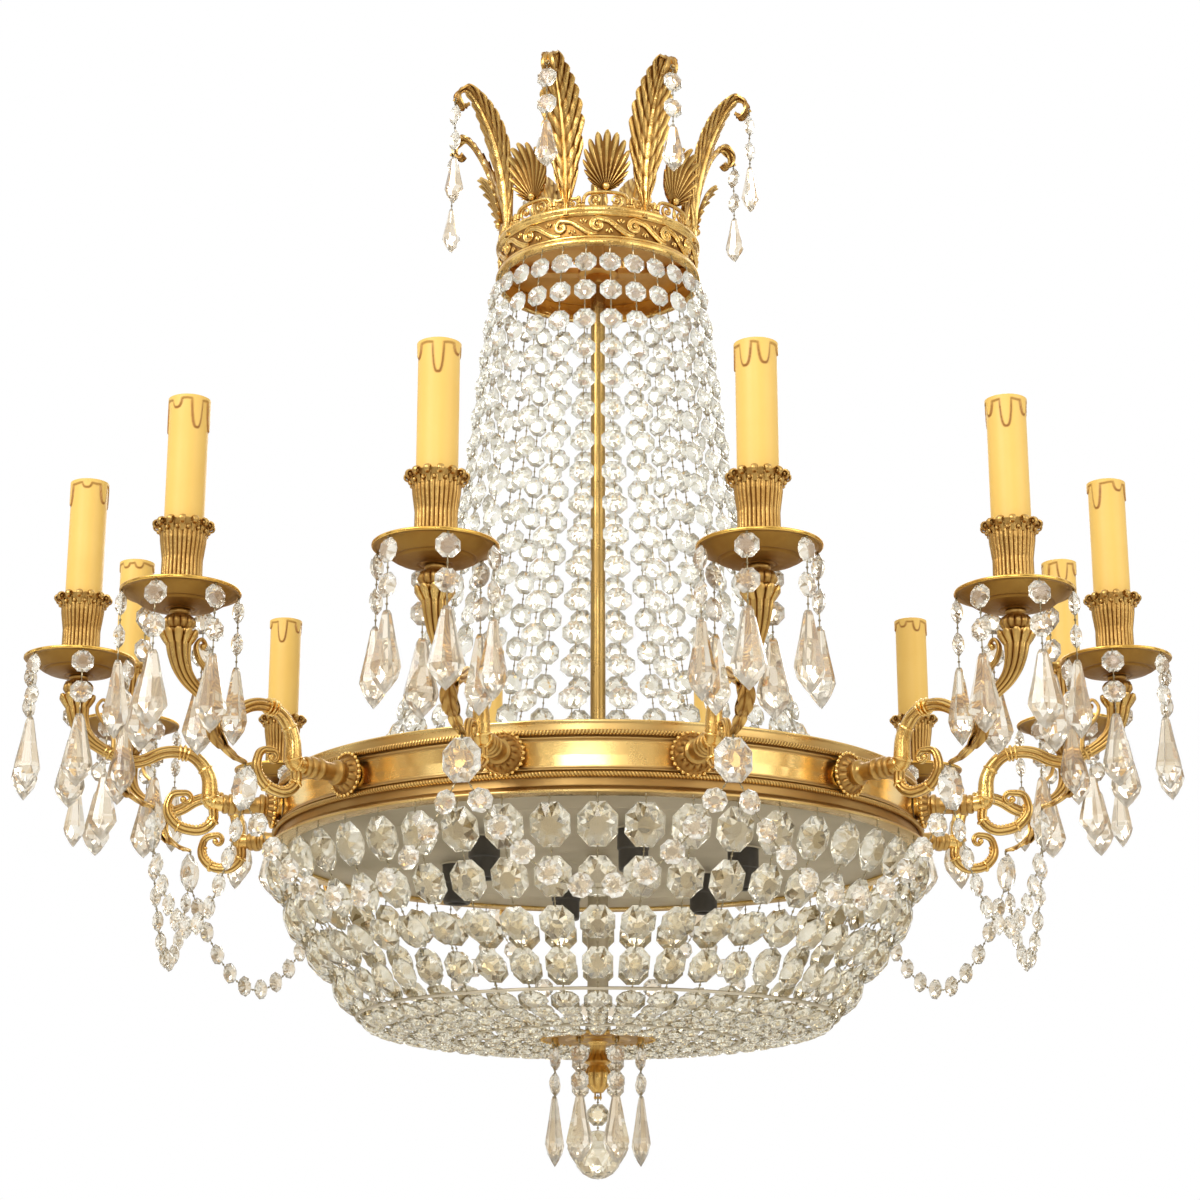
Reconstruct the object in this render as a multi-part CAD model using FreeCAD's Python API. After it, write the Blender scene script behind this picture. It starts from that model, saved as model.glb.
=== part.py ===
import FreeCAD, Part
import math
import os

# A crystal chandelier of the tent and basket kind, in millimetres, +Z up.
# The origin is the top end of the threaded stem, so most heights are negative.
# Radii and angles are about the stem. Angle 0 is +X, and the front is at -90.

Vector = FreeCAD.Vector
Z_AXIS = Vector(0, 0, 1)
FRONT = -90.0

# Stem
thread_r = 5.0
thread_length = 25.0
stem_r = 6.0
stem_bore_r = 3.2
stem_sleeve_r = 8.0
nut_across_flats = 22.0
nut_height = 7.0
hub_r = 17.0
hub_height = 12.0
bar_width = 9.0
bar_height = 6.0
bar_count = 4

# Crown
crown_r = 81.0
crown_wall = 3.0
crown_top_z = -83.0
crown_height = 32.0
crown_rim_r = 84.0
crown_rim_height = 4.0
crown_cover_thick = 1.5
crown_turn = 4.5
plume_count = 8
plume_width = 32.0
plume_thick = 3.0
palmette_width = 35.0
palmette_thick = 2.6
bracket_width = 38.0
bracket_height = 15.0
bracket_thick = 2.4
bracket_hole_r = 4.6
crown_spider_z = -104.0

# Tent of bead strands between the crown and the ring
tent_count = 28
tent_beads = 16
tent_top_bead = 17.0
tent_bottom_bead = 21.0
tent_hoop_r = 186.0
tent_hoop_wire_r = 2.2
tent_hoop_z = -550.0

# Main ring
ring_r = 246.0
ring_wall = 3.0
ring_top_z = -541.0
ring_height = 52.0
ring_flange_out = 7.0
ring_flange_in = 4.0
ring_flange_height = 2.0
rope_r = 2.0
rope_lip_top = 7.5
rope_lip_bottom = 11.3

# Arms
arm_count = 12
first_arm = 15.0
candle_ring_r = 400.0
boss_r = 16.0
boss_neck_r = 6.5
boss_collar_r = 8.0
boss_length = 44.0
arm_tube_r = 4.6
volute_tube_r = 3.6
arm_leaf_width = 15.0
arm_leaf_thick = 2.6
horn_mouth_r = 11.0

# Candle
pan_rim_z = -460.5
pan_r = 41.0
pan_depth = 11.5
pan_thick = 2.5
knop_r = 11.5
knop_height = 14.5
cup_rim_z = -412.0
cup_rim_r = 20.0
cup_seat_depth = 14.0
sleeve_top_z = -323.0
sleeve_r = 14.0
sleeve_wall = 1.7
holder_r = 11.8
holder_length = 60.0
holder_rod_r = 5.0
socket_r = 7.0
socket_depth = 26.0
holder_below_sleeve = 5.0

# Crystals
bead_depth_share = 0.46
table_share = 0.6
pin_width = 1.2
pin_play = 0.15
small_bead = 16.0
small_gap = 6.8
large_bead = 26.0
large_bead_height = 30.0
drop_length = 54.0
drop_width = 24.0
drop_depth_share = 0.75
crown_drop_length = 40.0
crown_drop_width = 19.0
pan_strings = 6
swag_beads = 10
swag_sag = 68.0
swag_start_offset = 5.0

# Basket under the ring
basket_count = 48
basket_bead_heights = [31.0, 29.0, 27.0, 24.0]
basket_bead_stretch = 1.12
basket_hoop_r = 182.0
basket_hoop_wire_r = 1.2
floor_bead_sizes = [19.0, 16.5, 14.0, 12.0]
inner_hoop_r = 107.0
centre_count = 24
centre_bead_sizes = [14.0, 12.5, 11.0, 9.5]

# Lamp plate on the ring's bottom flange, over the basket
lamp_plate_thick = 1.5
inner_holder_count = 6
inner_holder_first = FRONT + 13.0
inner_holder_ring_r = 115.0
inner_holder_below = 31.0
holder_flange_r = 14.0
holder_flange_thick = 3.0

# Bottom boss, its drops and the ball
boss_plate_r = 44.0
boss_plate_thick = 3.0
boss_plate_z = -728.0
bottom_string_count = 8
bottom_string_r = 35.0
bottom_bead = 14.0
bottom_gap = 5.0
bottom_drop_length = 50.0
bottom_drop_width = 21.0
bottom_drop_depth_share = 0.6
finial_r = 11.0
ball_r = 18.0
ball_z = -816.0
ball_bead = 16.0
eye_r = 2.3
eye_hole_r = 1.3
hook_pin_r = 1.0
eye_width = 1.6

# Clearances
rest_gap = 0.3
sleeve_gap = 0.3
stem_gap = 0.15


def polar(radius, angle, z):
    a = math.radians(angle)
    return Vector(radius * math.cos(a), radius * math.sin(a), z)


def turned(shape, angle):
    copy = shape.copy()
    copy.rotate(Vector(0, 0, 0), Z_AXIS, angle)
    return copy


def around(shapes, count, first=0.0):
    step = 360.0 / count
    return [turned(s, first + i * step) for i in range(count) for s in shapes]


def moved(shapes, offset):
    copies = [s.copy() for s in shapes]
    for c in copies:
        c.translate(offset)
    return copies


def write(name, solids):
    whole = solids[0] if len(solids) == 1 else Part.makeCompound(solids)
    whole.exportStep("parts/" + name + ".step")


def revolved(profile):
    points = [Vector(x, 0, z) for x, z in profile]
    wire = Part.makePolygon(points + [points[0]])
    return Part.Face(wire).revolve(Vector(0, 0, 0), Z_AXIS, 360)


def flat_faced(polygons):
    faces = [Part.Face(Part.makePolygon(p + [p[0]])) for p in polygons]
    shell = Part.makeShell(faces)
    shell.sewShape()
    solid = Part.makeSolid(shell)
    if solid.Volume < 0:
        solid.reverse()
    return solid


def crystal(centre, along, facing, rings, closed_end=None):
    # Each ring is (along offset, facing offset, half width, half height) of one octagon.
    across = along.cross(facing)
    corner = 1 / math.cos(math.radians(22.5))
    loops = []
    for shift, lift, half_width, half_other, upright in rings:
        loop = []
        for i in range(8):
            a = math.radians(22.5 + 45 * i)
            u = half_width * corner * math.cos(a)
            v = half_other * corner * math.sin(a)
            side = along if upright else facing
            loop.append(centre + along * shift + facing * lift + across * u + side * v)
        loops.append(loop)
    polygons = [list(loops[0])]
    for lower, upper in zip(loops, loops[1:]):
        for i in range(8):
            j = (i + 1) % 8
            polygons.append([lower[i], lower[j], upper[j], upper[i]])
    if closed_end is None:
        polygons.append(list(loops[-1]))
    else:
        for i in range(8):
            polygons.append([loops[-1][i], loops[-1][(i + 1) % 8], closed_end])
    return flat_faced(polygons)


def octagon(centre, along, facing, width, height):
    depth = bead_depth_share * min(width, height)
    table = (table_share * width / 2, table_share * height / 2, True)
    girdle = (width / 2, height / 2, True)
    return crystal(centre, along, facing, [(0, -depth / 2) + table, (0, 0) + girdle, (0, depth / 2) + table])


def drop(top, facing, length, width, depth_share):
    # A flattened pear, cut with eight sides: a short neck, a shoulder over two thirds down and a point.
    half = width / 2
    rings = []
    for down, share in ((0.0, 0.36), (0.36, 0.66), (0.7, 1.0)):
        rings.append((-down * length, 0, half * share, half * share * depth_share, False))
    return crystal(top, Z_AXIS, facing, rings, top - Z_AXIS * length)


def pin(start, end, play=pin_play):
    direction = (end - start).normalize()
    length = (end - start).Length - 2 * play
    box = Part.makeBox(pin_width, pin_width, length, Vector(-pin_width / 2, -pin_width / 2, play))
    box.Placement = FreeCAD.Placement(start, FreeCAD.Rotation(Z_AXIS, direction))
    return box


def strand(outline, sizes, stretch=1.0, facing_of=None):
    # Beads on a smooth curve, with even gaps and a pin in each gap. Sizes are the bead heights.
    curve = Part.BSplineCurve()
    curve.interpolate(outline)
    first = curve.FirstParameter
    gap = (curve.length() - sum(sizes)) / (len(sizes) + 1)
    beads, pins, done = [], [], 0.0
    last = outline[0]
    for size in sizes:
        centre = curve.value(curve.parameterAtDistance(done + gap + size / 2, first))
        along = Vector(*curve.tangent(curve.parameterAtDistance(done + gap + size / 2, first))[0])
        along = along.normalize()
        facing = facing_of if facing_of else along.cross(Vector(0, 1, 0))
        beads.append(octagon(centre, along, facing, size / stretch, size))
        pins.append(pin(last, centre - along * (size / 2)))
        last = centre + along * (size / 2)
        done += gap + size
    pins.append(pin(last, outline[-1]))
    return beads, pins


def hanging_string(top, facing, bead_sizes, gaps, length, width, depth_share=drop_depth_share):
    beads, pins = [], []
    at = top
    for size, gap in zip(bead_sizes, gaps):
        below = at - Z_AXIS * gap
        pins.append(pin(at, below))
        beads.append(octagon(below - Z_AXIS * (size / 2), Z_AXIS, facing, size, size))
        at = below - Z_AXIS * size
    below = at - Z_AXIS * gaps[-1]
    pins.append(pin(at, below))
    return beads, pins, drop(below, facing, length, width, depth_share)


def eye(centre, axis):
    half = axis * (eye_width / 2)
    disc = Part.makeCylinder(eye_r, eye_width, centre - half, axis)
    return disc.cut(Part.makeCylinder(eye_hole_r, eye_width, centre - half, axis))


def bent_tube(points, bend_r, tube_r):
    # Straight runs joined by tangent arcs, in the plane y = 0.
    edges, start = [], points[0]
    for before, corner, after in zip(points, points[1:], points[2:]):
        back = (before - corner).normalize()
        ahead = (after - corner).normalize()
        half_turn = math.acos(max(-1.0, min(1.0, back.dot(ahead)))) / 2
        reach = min(bend_r / math.tan(half_turn), 0.45 * min((before - corner).Length, (after - corner).Length))
        radius = reach * math.tan(half_turn)
        middle = corner + (back + ahead).normalize() * (radius / math.sin(half_turn) - radius)
        edges.append(Part.LineSegment(start, corner + back * reach).toShape())
        edges.append(Part.Arc(corner + back * reach, middle, corner + ahead * reach).toShape())
        start = corner + ahead * reach
    edges.append(Part.LineSegment(start, points[-1]).toShape())
    circle = Part.Wire(Part.makeCircle(tube_r, points[0], (points[1] - points[0]).normalize()))
    return Part.Wire(edges).makePipeShell([circle], True, True)


def leaf(path, widths, thick, first_up=True):
    # A blade of flat sections across the path, which lies in the plane y = 0.
    sections = []
    for i, (point, width) in enumerate(zip(path, widths)):
        before = path[max(i - 1, 0)]
        after = path[min(i + 1, len(path) - 1)]
        along = Vector(0, 0, 1) if i == 0 and first_up else (after - before).normalize()
        normal = along.cross(Vector(0, 1, 0)) * (thick / 2)
        side = Vector(0, width / 2, 0)
        corners = [point + normal + side, point + normal - side, point - normal - side, point - normal + side]
        sections.append(Part.makePolygon(corners + [corners[0]]))
    return Part.makeLoft(sections, True, True)


def spider(z, inner_wall_r):
    # A hub on the stem and flat bars out to the wall that it carries.
    block = Part.makeBox(2 * hub_r, 2 * hub_r, hub_height, Vector(-hub_r, -hub_r, z - hub_height / 2))
    hub = block.cut(Part.makeCylinder(stem_r + stem_gap, hub_height, Vector(0, 0, z - hub_height / 2)))
    reach = math.sqrt((inner_wall_r - rest_gap) ** 2 - (bar_width / 2) ** 2)
    corner = Vector(hub_r, -bar_width / 2, z - bar_height / 2)
    bar = Part.makeBox(reach - hub_r, bar_width, bar_height, corner)
    return [hub] + around([bar], bar_count)


def nut(low_z, hole_r):
    r = nut_across_flats / 2 / math.cos(math.radians(30))
    points = [polar(r, 60 * i, low_z) for i in range(7)]
    block = Part.Face(Part.makePolygon(points)).extrude(Z_AXIS * nut_height)
    return block.cut(Part.makeCylinder(hole_r, nut_height, Vector(0, 0, low_z)))


def point(radius, z):
    return Vector(radius, 0, z)


os.makedirs("parts", exist_ok=True)
loose_pins = []

# Stem with its threaded end, its lower sleeve and its nuts
ring_bottom_z = ring_top_z - ring_height
ring_in = ring_r - ring_wall
tent_spider_z = tent_hoop_z - tent_hoop_wire_r - rest_gap - bar_height / 2
stem_bottom_z = boss_plate_z
lamp_plate_z = ring_bottom_z + ring_flange_height
stem = revolved([
    (stem_bore_r, 0), (thread_r, 0), (thread_r, -thread_length), (stem_r, -thread_length),
    (stem_r, stem_bottom_z), (stem_bore_r, stem_bottom_z)])
write("stem", [stem])
write("stem_sleeve", [revolved([
    (stem_r + stem_gap, stem_bottom_z), (stem_sleeve_r, stem_bottom_z),
    (stem_sleeve_r, lamp_plate_z), (stem_r + stem_gap, lamp_plate_z)])])
write("stem_nuts", [
    nut(crown_spider_z + hub_height / 2, stem_r + stem_gap),
    nut(crown_spider_z - hub_height / 2 - nut_height, stem_r + stem_gap),
    nut(tent_spider_z + hub_height / 2, stem_r + stem_gap),
    nut(tent_spider_z - hub_height / 2 - nut_height, stem_r + stem_gap)])

# Crown band: a wall between two rims, on a spider with a cover plate over its bars
crown_bottom_z = crown_top_z - crown_height
wall_in = crown_r - crown_wall
write("crown_band", [revolved([
    (wall_in, crown_top_z), (crown_rim_r, crown_top_z), (crown_rim_r, crown_top_z - crown_rim_height),
    (crown_r, crown_top_z - crown_rim_height), (crown_r, crown_bottom_z + crown_rim_height),
    (crown_rim_r, crown_bottom_z + crown_rim_height), (crown_rim_r, crown_bottom_z),
    (wall_in, crown_bottom_z)])])
cover_low_z = crown_spider_z + bar_height / 2
cover_in = 1.5 * hub_r
cover_out = wall_in - rest_gap
cover = revolved([
    (cover_in, cover_low_z), (cover_out, cover_low_z), (cover_out, cover_low_z + crown_cover_thick),
    (cover_in, cover_low_z + crown_cover_thick)])
write("crown_spider", spider(crown_spider_z, wall_in) + [cover])

plume_path = [
    point(crown_r, crown_top_z), point(crown_r + 2, crown_top_z + 23), point(crown_r + 7, crown_top_z + 52),
    point(crown_r + 16, crown_top_z + 82), point(crown_r + 28, crown_top_z + 106),
    point(crown_r + 38, crown_top_z + 117), point(crown_r + 45, crown_top_z + 113),
    point(crown_r + 46, crown_top_z + 105)]
plume_shape = [0.25, 0.8, 1.0, 0.97, 0.87, 0.7, 0.5, 0.3]
plume = leaf(plume_path, [plume_width * s for s in plume_shape], plume_thick)
hook_z = plume_path[-1].z
hook_start = plume_path[-1].x + plume_thick / 2
plume_hook = Part.makeCylinder(hook_pin_r, 5.0, point(hook_start - 1.0, hook_z), Vector(1, 0, 0))
plume_first = FRONT + crown_turn + 180.0 / plume_count
write("crown_plumes", around([plume.fuse(plume_hook)], plume_count, plume_first))

# Each palmette stands on an openwork bracket
bracket_r = crown_r - 1.0
bracket_top_z = crown_top_z + bracket_height
bracket_outline = [
    (-0.5 * bracket_width, crown_top_z), (0.5 * bracket_width, crown_top_z),
    (0.44 * bracket_width, bracket_top_z - 6), (0.32 * bracket_width, bracket_top_z),
    (-0.32 * bracket_width, bracket_top_z), (-0.44 * bracket_width, bracket_top_z - 6)]
corners = [Vector(bracket_r - bracket_thick / 2, y, z) for y, z in bracket_outline]
bracket = Part.Face(Part.makePolygon(corners + [corners[0]])).extrude(Vector(bracket_thick, 0, 0))
for side in (-1, 1):
    hole_y = 0.21 * side * bracket_width
    hole_start = Vector(bracket_r - bracket_thick, hole_y, bracket_top_z - bracket_height / 2)
    bracket = bracket.cut(Part.makeCylinder(bracket_hole_r, 2 * bracket_thick, hole_start, Vector(1, 0, 0)))
write("crown_crest", around([bracket], plume_count, FRONT + crown_turn))

palmette_path = [
    point(bracket_r, bracket_top_z), point(bracket_r + 2, bracket_top_z + 10),
    point(bracket_r + 5, bracket_top_z + 21), point(bracket_r + 9, bracket_top_z + 32),
    point(bracket_r + 15, bracket_top_z + 41), point(bracket_r + 19, bracket_top_z + 45)]
palmette_shape = [0.4, 0.8, 1.0, 0.97, 0.7, 0.35]
palmette = leaf(palmette_path, [palmette_width * s for s in palmette_shape], palmette_thick)
write("crown_palmettes", around([palmette], plume_count, FRONT + crown_turn))

# Tent strands, from the crown's lower rim to a wire hoop that rests on the ring spider
tent_outline = [
    point(crown_rim_r - 1, crown_bottom_z - rest_gap), point(crown_rim_r + 3, crown_bottom_z - 20),
    point(crown_rim_r + 6.5, crown_bottom_z - 45), point(crown_rim_r + 9, crown_bottom_z - 68),
    point(crown_rim_r + 16, crown_bottom_z - 130), point(crown_rim_r + 23, crown_bottom_z - 183),
    point(crown_rim_r + 26.5, crown_bottom_z - 205),
    point(crown_rim_r + 45, crown_bottom_z - 285), point(crown_rim_r + 68, crown_bottom_z - 364),
    point(tent_hoop_r - tent_hoop_wire_r, tent_hoop_z + tent_hoop_wire_r)]
tent_step = (tent_bottom_bead - tent_top_bead) / (tent_beads - 1)
tent_sizes = [tent_top_bead + tent_step * i for i in range(tent_beads)]
beads, pins = strand(tent_outline, tent_sizes)
tent_first = FRONT + 180.0 / tent_count
write("tent_beads", around(beads, tent_count, tent_first))
loose_pins += around(pins, tent_count, tent_first)
write("tent_hoop", [Part.makeTorus(tent_hoop_r, tent_hoop_wire_r, Vector(0, 0, tent_hoop_z))])

# Main ring with its two rope mouldings and the spider that carries it
flange_out = ring_r + ring_flange_out
flange_in = ring_in - ring_flange_in
write("ring_band", [revolved([
    (flange_in, ring_top_z), (ring_r, ring_top_z), (ring_r, ring_bottom_z + ring_flange_height),
    (flange_out, ring_bottom_z + ring_flange_height), (flange_out, ring_bottom_z),
    (flange_in, ring_bottom_z), (flange_in, ring_bottom_z + ring_flange_height),
    (ring_in, ring_bottom_z + ring_flange_height), (ring_in, ring_top_z - ring_flange_height),
    (flange_in, ring_top_z - ring_flange_height)])])
rope_ring_r = ring_r + rope_r + rest_gap / 2
rope_heights = [ring_top_z - rope_lip_top - rope_r, ring_bottom_z + rope_lip_bottom + rope_r]
write("ring_ropes", [Part.makeTorus(rope_ring_r, rope_r, Vector(0, 0, z)) for z in rope_heights])
write("ring_spider", spider(tent_spider_z, ring_in))

# Bosses on the ring, which the arms are screwed to, turned about the radial line
boss_z = (rope_heights[0] + rope_heights[1]) / 2
boss_foot = ring_r + rest_gap
boss_front = ring_r + 2 * rope_r + rest_gap
boss_end = ring_r + boss_length
boss = revolved([
    (0, boss_foot), (0.62 * boss_r, boss_foot), (0.62 * boss_r, boss_front + 0.2), (boss_r, boss_front + 0.2),
    (boss_r, boss_front + 3), (0.72 * boss_r, boss_front + 6), (boss_neck_r + 2, boss_front + 12),
    (boss_neck_r, boss_end - 10), (boss_collar_r, boss_end - 8), (boss_collar_r, boss_end - 2),
    (boss_neck_r, boss_end), (0, boss_end)])
boss.rotate(Vector(0, 0, 0), Vector(0, 1, 0), 90)
boss.translate(Vector(0, 0, boss_z))
write("arm_bosses", around([boss], arm_count, first_arm))

# Arm castings: an upper tube over to the horn, a volute below it and a leaf curled back under
arm_start = boss_end
arm_path = [
    point(arm_start, boss_z), point(arm_start + 9, boss_z), point(arm_start + 10, boss_z + 22),
    point(arm_start + 23, boss_z + 37), point(arm_start + 44, boss_z + 38), point(arm_start + 60, boss_z + 29),
    point(arm_start + 71, boss_z + 27), point(arm_start + 81, boss_z + 32)]
volute_path = [
    point(arm_start + 7, boss_z), point(arm_start + 5, boss_z - 14), point(arm_start + 15, boss_z - 22),
    point(arm_start + 32, boss_z - 20), point(arm_start + 42, boss_z - 8), point(arm_start + 38, boss_z + 6),
    point(arm_start + 27, boss_z + 7)]
leaf_path = [
    point(arm_start + 64, boss_z + 27), point(arm_start + 72, boss_z + 19), point(arm_start + 71, boss_z + 9),
    point(arm_start + 62, boss_z), point(arm_start + 50, boss_z - 5)]
leaf_shape = [0.5, 0.8, 1.0, 0.8, 0.35]
arm = bent_tube(arm_path, 12.0, arm_tube_r)
arm = arm.fuse(bent_tube(volute_path, 8.0, volute_tube_r))
arm = arm.fuse(leaf(leaf_path, [arm_leaf_width * s for s in leaf_shape], arm_leaf_thick, False))
write("arm_castings", around([arm], arm_count, first_arm))

# Horns that carry the pans, lofted along a curve from the arm's end up to the candle axis
pan_floor_z = pan_rim_z - pan_depth
pan_foot_z = pan_floor_z - pan_thick
horn_mouth_z = pan_foot_z - knop_height
horn_start = arm_path[-1] + (arm_path[-1] - arm_path[-2]).normalize() * rest_gap
horn_curve = Part.BezierCurve()
horn_curve.setPoles([
    horn_start, horn_start + (arm_path[-1] - arm_path[-2]).normalize() * 24,
    point(candle_ring_r, horn_mouth_z - 28), point(candle_ring_r, horn_mouth_z)])
horn_sections = []
for share, size in ((0.0, 0.37), (0.25, 0.43), (0.5, 0.55), (0.72, 0.7), (0.9, 0.84), (1.0, 1.0)):
    centre = horn_curve.value(share)
    heading = Vector(*horn_curve.tangent(share)[0])
    horn_sections.append(Part.Wire(Part.makeCircle(horn_mouth_r * size, centre, heading)))
write("arm_horns", around([Part.makeLoft(horn_sections, True, False)], arm_count, first_arm))

# Candle: knop, drip pan, cup, lampholder and sleeve, all turned about the candle axis
candle = point(candle_ring_r, 0)
knop = revolved([
    (0, horn_mouth_z), (0.8 * knop_r, horn_mouth_z), (knop_r, horn_mouth_z + 0.35 * knop_height),
    (0.9 * knop_r, horn_mouth_z + 0.65 * knop_height), (0.5 * knop_r, pan_foot_z), (0, pan_foot_z)])
write("pan_knops", around(moved([knop], candle), arm_count, first_arm))

rim_flat = 3.0
pan = revolved([
    (0, pan_foot_z), (9, pan_foot_z), (0.6 * pan_r, pan_foot_z + 0.25 * pan_depth),
    (pan_r - rim_flat, pan_rim_z - pan_thick), (pan_r, pan_rim_z - pan_thick), (pan_r, pan_rim_z),
    (pan_r - rim_flat, pan_rim_z - 0.4), (0.6 * pan_r, pan_floor_z + 0.25 * pan_depth),
    (9, pan_floor_z), (0, pan_floor_z)])
write("drip_pans", around(moved([pan], candle), arm_count, first_arm))

cup_seat_z = cup_rim_z - cup_seat_depth
cup_hole_r = sleeve_r + sleeve_gap
cup_height = cup_rim_z - pan_floor_z
cup = revolved([
    (0, pan_floor_z), (7.5, pan_floor_z), (7.5, pan_floor_z + 0.07 * cup_height),
    (0.66 * cup_rim_r, pan_floor_z + 0.16 * cup_height), (0.72 * cup_rim_r, pan_floor_z + 0.3 * cup_height),
    (0.72 * cup_rim_r, pan_floor_z + 0.55 * cup_height), (cup_hole_r + 1.6, cup_seat_z),
    (cup_hole_r + 1.8, cup_rim_z - 6), (cup_rim_r, cup_rim_z - 1.5), (cup_rim_r, cup_rim_z),
    (cup_hole_r, cup_rim_z - 3), (cup_hole_r, cup_seat_z), (0, cup_seat_z)])
write("candle_cups", around(moved([cup], candle), arm_count, first_arm))

holder_top_z = sleeve_top_z - holder_below_sleeve
holder_low_z = holder_top_z - holder_length
holder = revolved([
    (0, cup_seat_z), (holder_rod_r, cup_seat_z), (holder_rod_r, holder_low_z), (holder_r, holder_low_z),
    (holder_r, holder_top_z), (socket_r, holder_top_z), (socket_r, holder_top_z - socket_depth),
    (0, holder_top_z - socket_depth)])
plate_top_z = lamp_plate_z + lamp_plate_thick
inner_low_z = lamp_plate_z - inner_holder_below
inner_holder = revolved([
    (0, inner_low_z + holder_length), (holder_r, inner_low_z + holder_length),
    (holder_r, plate_top_z + holder_flange_thick), (holder_flange_r, plate_top_z + holder_flange_thick),
    (holder_flange_r, plate_top_z), (holder_r, plate_top_z), (holder_r, inner_low_z), (socket_r, inner_low_z),
    (socket_r, inner_low_z + socket_depth), (0, inner_low_z + socket_depth)])
outer_holders = around(moved([holder], candle), arm_count, first_arm)
inner_holders = around(
    moved([inner_holder], point(inner_holder_ring_r, 0)), inner_holder_count, inner_holder_first)
write("lampholders", outer_holders + inner_holders)

sleeve_in = sleeve_r - sleeve_wall
sleeve_low_z = cup_seat_z + rest_gap
sleeve = revolved([
    (sleeve_in, sleeve_low_z), (sleeve_r, sleeve_low_z), (sleeve_r, sleeve_top_z), (sleeve_in, sleeve_top_z)])
for i, one in enumerate(around(moved([sleeve], candle), arm_count, first_arm)):
    write("candle_sleeve_%02d" % (i + 1), [one])

# Strings of crystals under each pan's rim
string_r = pan_r - rim_flat / 2
string_beads, string_drops = [], []
for i in range(pan_strings):
    angle = 360.0 / pan_strings * (i + 0.5)
    top = polar(string_r, angle, pan_rim_z - pan_thick)
    gaps = [1.6, small_gap, small_gap + 2.0]
    facing = polar(1, angle, 0)
    beads, pins, one_drop = hanging_string(top, facing, [small_bead] * 2, gaps, drop_length, drop_width)
    string_beads += beads
    string_drops.append(one_drop)
    loose_pins += around(moved(pins, candle), arm_count, first_arm)
write("pan_beads", around(moved(string_beads, candle), arm_count, first_arm))
write("pan_drops", around(moved(string_drops, candle), arm_count, first_arm))

# A large octagon under each arm's leaf, facing outwards
octagon_top = point(leaf_path[-1].x, leaf_path[-1].z - 3.0)
octagon_centre = octagon_top - Z_AXIS * (large_bead_height / 2)
arm_octagon = octagon(octagon_centre, Z_AXIS, Vector(1, 0, 0), large_bead, large_bead_height)
write("arm_octagons", around([arm_octagon], arm_count, first_arm))
leaf_underside = leaf_path[-1] - Z_AXIS * (arm_leaf_thick / 2 + pin_play)
loose_pins += around([pin(leaf_underside, octagon_top)], arm_count, first_arm)

# Swags from octagon to octagon, each a hanging curve in an upright plane
swag_half = math.radians(180.0 / arm_count)
swag_top_z = octagon_centre.z - large_bead_height / 2
swag_plane_r = octagon_centre.x * math.cos(swag_half)
swag_reach = octagon_centre.x * math.sin(swag_half) - swag_start_offset * math.cos(swag_half)
swag_outline = []
for i in range(9):
    share = -1 + i / 4.0
    swag_outline.append(Vector(swag_plane_r, share * swag_reach, swag_top_z - swag_sag * (1 - share * share)))
beads, pins = strand(swag_outline, [small_bead] * swag_beads, facing_of=Vector(1, 0, 0))
write("swag_beads", around(beads, arm_count, first_arm + 180.0 / arm_count))
loose_pins += around(pins, arm_count, first_arm + 180.0 / arm_count)

# Basket: large octagons down to a hoop, then smaller ones in to the boss plate
hoop_z = ring_bottom_z - 123.0
basket_outline = [
    point(flange_out - 2, ring_bottom_z), point(flange_out - 4, ring_bottom_z - 11),
    point(flange_out - 17, ring_bottom_z - 44), point(flange_out - 33, ring_bottom_z - 73),
    point(flange_out - 50, ring_bottom_z - 93), point(flange_out - 60, ring_bottom_z - 108),
    point(basket_hoop_r + basket_hoop_wire_r, hoop_z + basket_hoop_wire_r)]
beads, pins = strand(basket_outline, basket_bead_heights, basket_bead_stretch)
write("basket_beads", around(beads, basket_count))
loose_pins += around(pins, basket_count)
inner_hoop_z = hoop_z - 16.0
floor_outline = [
    point(basket_hoop_r - basket_hoop_wire_r, hoop_z - 1), point(162, hoop_z - 8), point(133, hoop_z - 13),
    point(inner_hoop_r + basket_hoop_wire_r, inner_hoop_z)]
floor_beads, pins = strand(floor_outline, floor_bead_sizes)
loose_pins += around(pins, basket_count)
centre_outline = [
    point(inner_hoop_r - basket_hoop_wire_r, inner_hoop_z), point(75, inner_hoop_z - 1),
    point(boss_plate_r, boss_plate_z - boss_plate_thick / 2)]
centre_beads, pins = strand(centre_outline, centre_bead_sizes)
loose_pins += around(pins, centre_count)
write("basket_floor_beads", around(floor_beads, basket_count) + around(centre_beads, centre_count))
write("basket_hoops", [
    Part.makeTorus(basket_hoop_r, basket_hoop_wire_r, Vector(0, 0, hoop_z)),
    Part.makeTorus(inner_hoop_r, basket_hoop_wire_r, Vector(0, 0, inner_hoop_z))])
write("bead_pins", loose_pins)

# Lamp plate on the ring's bottom flange and the stem sleeve, with the holders through it
plate_hole_r = stem_r + stem_gap
lamp_plate_r = ring_in - rest_gap
lamp_plate = revolved([
    (plate_hole_r, lamp_plate_z), (lamp_plate_r, lamp_plate_z), (lamp_plate_r, plate_top_z),
    (plate_hole_r, plate_top_z)])
holder_hole = Part.makeCylinder(holder_r + rest_gap, lamp_plate_thick, point(inner_holder_ring_r, lamp_plate_z))
for hole in around([holder_hole], inner_holder_count, inner_holder_first):
    lamp_plate = lamp_plate.cut(hole)
write("lamp_plate", [lamp_plate])

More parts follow.
